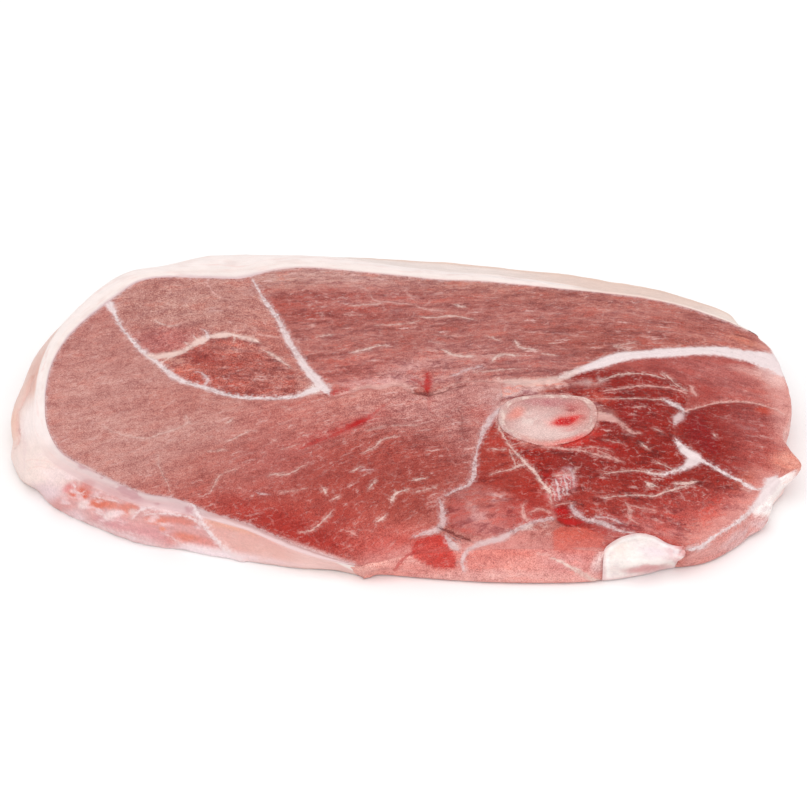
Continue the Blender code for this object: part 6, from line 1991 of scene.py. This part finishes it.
def flesh_material():
    n = Net("pork_lean")
    mm = n.mm()
    a, b, blotch = n.parts(n.attr("fib"))
    fleck, streak, grain = n.parts(n.attr("tex"))
    base = n.attr("c_flesh", "Color")

    wob = n.noise(mm, 0.45, 2.0, 0.6)
    fine = n.noise(mm, 1.9, 2.0, 0.7)
    ragged = n.noise(mm, 0.8, 3.0, 0.75)
    g1 = n.noise(mm, 0.62, 4.0, 0.95)
    g2 = n.noise(mm, 0.15, 2.0, 0.8)
    g0 = n.noise(mm, 2.7, 1.0, 0.9)

    def centred(x, k):
        return n.op("MULTIPLY", n.op("SUBTRACT", x, 0.5), k)

    b2 = n.op("ADD", b, centred(wob, 1.8))
    # kinked a little: dabs and clefts aren't drawn with a ruler
    b3 = n.op("ADD", b2, centred(ragged, 2.2))

    def along(ka, kb, z, detail, rough):
        return n.noise(n.join(n.op("MULTIPLY", a, ka), n.op("MULTIPLY", b2, kb), z), 1.0, detail, rough)

    def dabs(ka, kb, z, far, near):
        """Short soft strokes along the fibres, each of its own brightness."""
        t = n.t.nodes.new("ShaderNodeTexVoronoi")
        t.feature = "F1"
        n.set(t.inputs["Vector"], n.join(n.op("MULTIPLY", a, ka), n.op("MULTIPLY", b3, kb), z))
        t.inputs["Scale"].default_value = 1.0
        lot = n.parts(t.outputs["Color"])[0]
        return n.op("MULTIPLY", n.span(t.outputs["Distance"], far, near), n.span(lot, 0.15, 0.95))

    f1 = along(0.20, 0.95, 0.0, 3.0, 0.95)
    f2 = along(0.035, 0.22, 5.0, 2.0, 0.8)
    bl = along(0.11, 0.24, 40.0, 3.0, 0.8)
    d1 = dabs(1.15, 2.1, 3.0, 0.46, 0.10)
    d2 = dabs(0.40, 1.35, 17.0, 0.42, 0.08)
    d3 = dabs(0.11, 0.60, 29.0, 0.34, 0.05)
    dk = dabs(0.34, 1.05, 53.0, 0.40, 0.06)
    web = n.t.nodes.new("ShaderNodeTexVoronoi")
    web.feature = "DISTANCE_TO_EDGE"
    n.set(web.inputs["Vector"], n.join(n.op("MULTIPLY", a, 0.15), n.op("MULTIPLY", b3, 0.34), 71.0))
    web.inputs["Scale"].default_value = 1.0

    tone = add_all(n, [
        n.op("MULTIPLY", n.op("ADD", centred(f1, 1.9), centred(f2, 1.7)), streak),
        n.op("MULTIPLY", add_all(n, [centred(g0, 2.3), centred(g1, 2.1), centred(g2, 1.0)]), grain),
        centred(g0, 0.40),
    ])
    patch = n.span(g2, 0.40, 0.60, 0.30, 1.0)
    dark = n.op("MULTIPLY", dk, n.op("MULTIPLY", n.op("MAXIMUM", n.op("MULTIPLY", n.op("SUBTRACT", fleck, 0.42), 1.0), 0.03), n.span(ragged, 0.38, 0.60, 0.2, 1.0)))
    tone = n.op("MAXIMUM", n.op("MINIMUM", tone, 1.1), -0.55)
    up = n.op("MAXIMUM", tone, 0.0)
    down = n.op("MINIMUM", tone, 0.0)
    gain = n.vec("ADD", (1.0, 1.0, 1.0), n.vec("MULTIPLY", n.join(up, up, up), (0.40, 1.0, 1.0)))
    gain = n.vec("ADD", gain, n.vec("MULTIPLY", n.join(down, down, down), (0.72, 1.0, 1.0)))
    col = n.vec("MULTIPLY", base, gain)
    # warm and dark blotches of the bundles
    warm = n.op("MULTIPLY", n.span(bl, 0.51, 0.64), n.op("MULTIPLY", blotch, 0.75))
    cold = n.op("MULTIPLY", n.span(bl, 0.49, 0.36), n.op("MULTIPLY", blotch, 0.85))
    col = n.mix(col, n.vec("MULTIPLY", col, (1.12, 0.68, 0.58)), warm)
    col = n.mix(col, n.vec("MULTIPLY", col, (0.58, 0.38, 0.44)), cold)
    col = n.mix(col, n.vec("MULTIPLY", col, (0.40, 0.26, 0.30)), dark)
    # pale strokes of tissue; the finest specks are also painted glints of the wet surface
    thread = n.op("MULTIPLY", n.span(web.outputs["Distance"], 0.085, 0.012),
                  n.op("MULTIPLY", n.span(ragged, 0.44, 0.62), patch))
    white = add_all(n, [
        n.op("MULTIPLY", n.op("MULTIPLY", d1, patch), n.op("ADD", n.op("MULTIPLY", fleck, 0.16), 0.13)),
        n.op("MULTIPLY", n.op("MULTIPLY", d2, patch), n.op("ADD", n.op("MULTIPLY", fleck, 0.50), 0.12)),
        n.op("MULTIPLY", n.op("MULTIPLY", d3, patch), n.op("ADD", n.op("MULTIPLY", fleck, 0.70), n.op("MULTIPLY", streak, 0.40))),
        n.op("MULTIPLY", thread, n.op("MULTIPLY", fleck, 0.42)),
    ])
    white = n.op("MINIMUM", white, 0.85)
    col = n.mix(col, n.tint((222, 178, 172)), white)

    height = add_all(n, [
        n.op("MULTIPLY", f1, n.op("MULTIPLY", streak, 1.2)), n.op("MULTIPLY", g1, 1.0),
        n.op("MULTIPLY", white, 0.30), n.op("MULTIPLY", dark, -0.6),
    ])
    masks = []
    for i, soft in enumerate((0.40, 0.34, 0.28)):
        m, core, thick = line_mask(n, n.attr("g%d" % i), wob, fine, ragged, g1, soft)
        ink = n.attr("c_i%d" % i, "Color")
        depth = n.span(thick, 0.0, 1.0, 0.9, 0.34, smooth=False)
        shade = n.op("ADD", 1.0, n.op("MULTIPLY", n.op("SUBTRACT", g1, 0.53), depth))
        ink = n.vec("SCALE", ink, scale=shade)
        col = n.mix(col, ink, m)
        masks.append(n.op("MULTIPLY", m, core))
    seam_m = n.op("MAXIMUM", n.op("MAXIMUM", masks[0], masks[1]), masks[2])
    height = n.op("ADD", height, n.op("MULTIPLY", seam_m, 0.4))
    n.set(n.bsdf.inputs["Base Color"], col)
    rough = n.span(ragged, 0.3, 0.7, 0.30, 0.55)
    n.set(n.bsdf.inputs["Roughness"], rough)
    n.bsdf.inputs["Specular IOR Level"].default_value = 0.22
    n.set(n.bsdf.inputs["Normal"], n.bump(height, 0.00026, 0.85))
    return n.mat


def fat_material():
    n = Net("pork_fat_and_skin")
    mm = n.mm()
    base = n.attr("c_flesh", "Color")
    skin, face, low = n.parts(n.attr("tex"))
    a, b, on_skin = n.parts(n.attr("fib"))
    wob = n.noise(mm, 0.55, 2.0, 0.6)
    fine = n.noise(mm, 2.0, 2.0, 0.6)
    ragged = n.noise(mm, 0.9, 3.0, 0.7)
    soft = n.noise(mm, 0.22, 3.0, 0.55)
    pores = n.cells(n.join(n.op("MULTIPLY", a, 1.0), n.op("MULTIPLY", b, 1.2), 0.0), 0.9)
    vein = n.noise(n.join(n.op("MULTIPLY", a, 0.10), n.op("MULTIPLY", b, 0.75), 3.0), 1.0, 3.0, 0.6)
    wr = n.noise(n.join(n.op("MULTIPLY", a, 0.16), n.op("MULTIPLY", b, 1.5), 7.0), 1.0, 3.0, 0.6)

    def centred(x, k):
        return n.op("MULTIPLY", n.op("SUBTRACT", x, 0.5), k)

    tone = add_all(n, [centred(soft, 0.14), centred(fine, 0.06),
                       n.op("MULTIPLY", centred(wr, 0.20), skin),
                       n.op("MULTIPLY", centred(vein, 0.14), face),
                       n.op("MULTIPLY", n.op("ADD", centred(ragged, 0.50), centred(fine, 0.35)), low)])
    col = n.vec("SCALE", base, scale=n.op("ADD", 1.0, tone))
    pinker = n.op("MULTIPLY", n.span(vein, 0.52, 0.70), n.op("ADD", n.op("MULTIPLY", face, 0.35), n.op("MULTIPLY", low, 0.25)))
    col = n.mix(col, n.tint((226, 184, 178)), pinker)
    pit = n.op("MULTIPLY", n.span(pores, 0.16, 0.04), skin)
    col = n.mix(col, n.vec("MULTIPLY", col, (0.86, 0.74, 0.70)), n.op("MULTIPLY", pit, 0.55))
    m, core, thick = line_mask(n, n.attr("g0"), wob, fine, ragged, ragged, 0.4)
    col = n.mix(col, n.attr("c_i0", "Color"), m)
    n.set(n.bsdf.inputs["Base Color"], col)
    height = add_all(n, [n.op("MULTIPLY", soft, 0.8), n.op("MULTIPLY", fine, 0.25), n.op("MULTIPLY", ragged, 0.3),
                         n.op("MULTIPLY", n.op("MULTIPLY", wr, skin), 0.6),
                         n.op("MULTIPLY", pit, -0.5)])
    n.set(n.bsdf.inputs["Normal"], n.bump(height, 0.00025, 0.8))
    n.set(n.bsdf.inputs["Roughness"], n.span(soft, 0.3, 0.7, 0.36, 0.52))
    n.bsdf.inputs["Specular IOR Level"].default_value = 0.35
    return n.mat


def bone_material():
    n = Net("sawn_femur")
    mm = n.mm()
    base = n.attr("c_flesh", "Color")
    x, y, z = n.parts(mm)
    c, s = math.cos(0.5), math.sin(0.5)
    u = n.op("SUBTRACT", n.op("MULTIPLY", x, c), n.op("MULTIPLY", y, s))
    v = n.op("ADD", n.op("MULTIPLY", x, s), n.op("MULTIPLY", y, c))
    saw = n.noise(n.join(n.op("MULTIPLY", u, 1.5), n.op("MULTIPLY", v, 0.10), 0.0), 1.0, 2.0, 0.5)
    smear = n.noise(n.join(n.op("MULTIPLY", u, 0.12), n.op("MULTIPLY", v, 0.5), 3.0), 1.0, 3.0, 0.6)
    sponge = n.cells(mm, 1.15)
    fine = n.noise(mm, 2.4, 2.0, 0.6)
    soft = n.noise(mm, 0.3, 3.0, 0.6)

    def centred(q, k):
        return n.op("MULTIPLY", n.op("SUBTRACT", q, 0.5), k)

    tone = add_all(n, [centred(saw, 0.06), centred(smear, 0.12), centred(fine, 0.85), centred(soft, 0.36)])
    col = n.vec("SCALE", base, scale=n.op("ADD", 1.0, tone))
    hole = n.span(sponge, 0.22, 0.06)
    col = n.mix(col, n.vec("MULTIPLY", col, (0.90, 0.62, 0.60)), n.op("MULTIPLY", hole, 0.70))
    light = n.op("MULTIPLY", n.span(fine, 0.56, 0.74), 0.50)
    col = n.mix(col, n.tint((244, 224, 216)), light)
    n.set(n.bsdf.inputs["Base Color"], col)
    height = add_all(n, [n.op("MULTIPLY", saw, 0.5), n.op("MULTIPLY", fine, 0.5), n.op("MULTIPLY", hole, -0.4), soft])
    n.set(n.bsdf.inputs["Normal"], n.bump(height, 0.0002, 0.8))
    n.set(n.bsdf.inputs["Roughness"], n.span(soft, 0.3, 0.7, 0.28, 0.45))
    n.bsdf.inputs["Specular IOR Level"].default_value = 0.45
    return n.mat


def pad_material():
    n = Net("pad_fat")
    mm = n.mm()
    base = n.attr("c_flesh", "Color")
    soft = n.noise(mm, 0.3, 3.0, 0.6)
    fine = n.noise(mm, 1.6, 3.0, 0.6)

    def centred(q, k):
        return n.op("MULTIPLY", n.op("SUBTRACT", q, 0.5), k)

    col = n.vec("SCALE", base, scale=n.op("ADD", 1.0, add_all(n, [centred(soft, 0.26), centred(fine, 0.34)])))
    col = n.mix(col, n.tint((236, 206, 202)), n.op("MULTIPLY", n.span(fine, 0.55, 0.75), 0.35))
    n.set(n.bsdf.inputs["Base Color"], col)
    n.set(n.bsdf.inputs["Normal"], n.bump(n.op("ADD", soft, n.op("MULTIPLY", fine, 0.5)), 0.0003, 0.8))
    n.set(n.bsdf.inputs["Roughness"], n.span(soft, 0.3, 0.7, 0.34, 0.5))
    n.bsdf.inputs["Specular IOR Level"].default_value = 0.4
    return n.mat


def floor_material():
    n = Net("pale_floor")
    mm = n.mm()
    t = n.noise(mm, 0.002, 2.0, 0.5)
    col = n.mix((0.93, 0.93, 0.93, 1), (0.95, 0.95, 0.95, 1), t)
    n.set(n.bsdf.inputs["Base Color"], col)
    n.bsdf.inputs["Roughness"].default_value = 0.9
    n.bsdf.inputs["Specular IOR Level"].default_value = 0.1
    return n.mat


def dress(ob, mat):
    ob.data.materials.clear()
    ob.data.materials.append(mat)
    # the vertex paints allow for the brightness of the room
    for key in ("c_flesh", "c_i0", "c_i1", "c_i2"):
        a = ob.data.attributes.get(key)
        if a:
            buf = np.zeros(len(a.data) * 4, np.float32)
            a.data.foreach_get("color", buf)
            buf = buf.reshape(-1, 4)
            buf[:, :3] = np.maximum((buf[:, :3] - SHEEN) / LIGHT, 0.002)
            a.data.foreach_set("color", buf.ravel())


# ---------------------------------------------------------------------------
# put it together
# ---------------------------------------------------------------------------
lean = build_lean()
cap = build_cap()
bone = build_bone()
marrow = build_marrow()
pad = build_pad()

dress(lean, flesh_material())
fatmat = fat_material()
dress(cap, fatmat)
bonemat = bone_material()
dress(bone, bonemat)
dress(marrow, bonemat)
dress(pad, pad_material())

for ob, node, slot in ((lean, "lean", "lean"), (cap, "fat_cap", "fat"), (bone, "bone", "bone"),
                       (marrow, "marrow", "marrow"), (pad, "fat_pad", "fat")):
    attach(ob, "root")
    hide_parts(node)

# floor
fm = bpy.data.meshes.new("floor")
R = 9.0
fm.from_pydata([(-R, -R, -0.0002), (R, -R, -0.0002), (R, R, -0.0002), (-R, R, -0.0002)], [], [(0, 1, 2, 3)])
floor = bpy.data.objects.new("floor", fm)
bpy.context.scene.collection.objects.link(floor)
fm.materials.append(floor_material())

# world: even pale room
world = bpy.data.worlds.new("room")
world.use_nodes = True
bg = world.node_tree.nodes["Background"]
bg.inputs[0].default_value = (1.0, 1.0, 1.0, 1.0)
bg.inputs[1].default_value = 0.60
bpy.context.scene.world = world


def sun(name, azimuth, elevation, strength, angle):
    """Wide soft light from a direction: azimuth 0 is the front, 90 the right."""
    ld = bpy.data.lights.new(name, "SUN")
    ld.energy = strength
    ld.angle = math.radians(angle)
    ob = bpy.data.objects.new(name, ld)
    a, e = math.radians(azimuth), math.radians(elevation)
    d = Vector((math.sin(a) * math.cos(e), -math.cos(a) * math.cos(e), math.sin(e)))
    ob.rotation_euler = d.to_track_quat("Z", "Y").to_euler()
    ob.location = d
    bpy.context.scene.collection.objects.link(ob)
    return ob


sun("soft_key", -25, 60, 1.25, 70)
sun("soft_fill", 50, 58, 0.70, 80)

# camera at the photograph's viewing angle
target = np.array([1.0 - SHIFT[0], 12.0 - SHIFT[1], 0.0]) * MM
el = math.radians(36.0)
cam_data = bpy.data.cameras.new("camera")
cam_data.sensor_fit = "HORIZONTAL"
cam_data.sensor_width = 36.0
cam_data.lens = 2640.0 / 807.0 * 36.0
cam_data.clip_start = 0.01
cam_data.clip_end = 100.0
cam = bpy.data.objects.new("camera", cam_data)
cam.location = target + 0.8 * np.array([0.0, -math.cos(el), math.sin(el)])
cam.rotation_euler = (math.radians(90) - el, 0.0, 0.0)
bpy.context.scene.collection.objects.link(cam)
bpy.context.scene.camera = cam

vs = bpy.context.scene.view_settings
vs.view_transform = "Standard"
vs.look = "None"
vs.exposure = 0.0
vs.gamma = 1.0

bpy.context.view_layer.update()
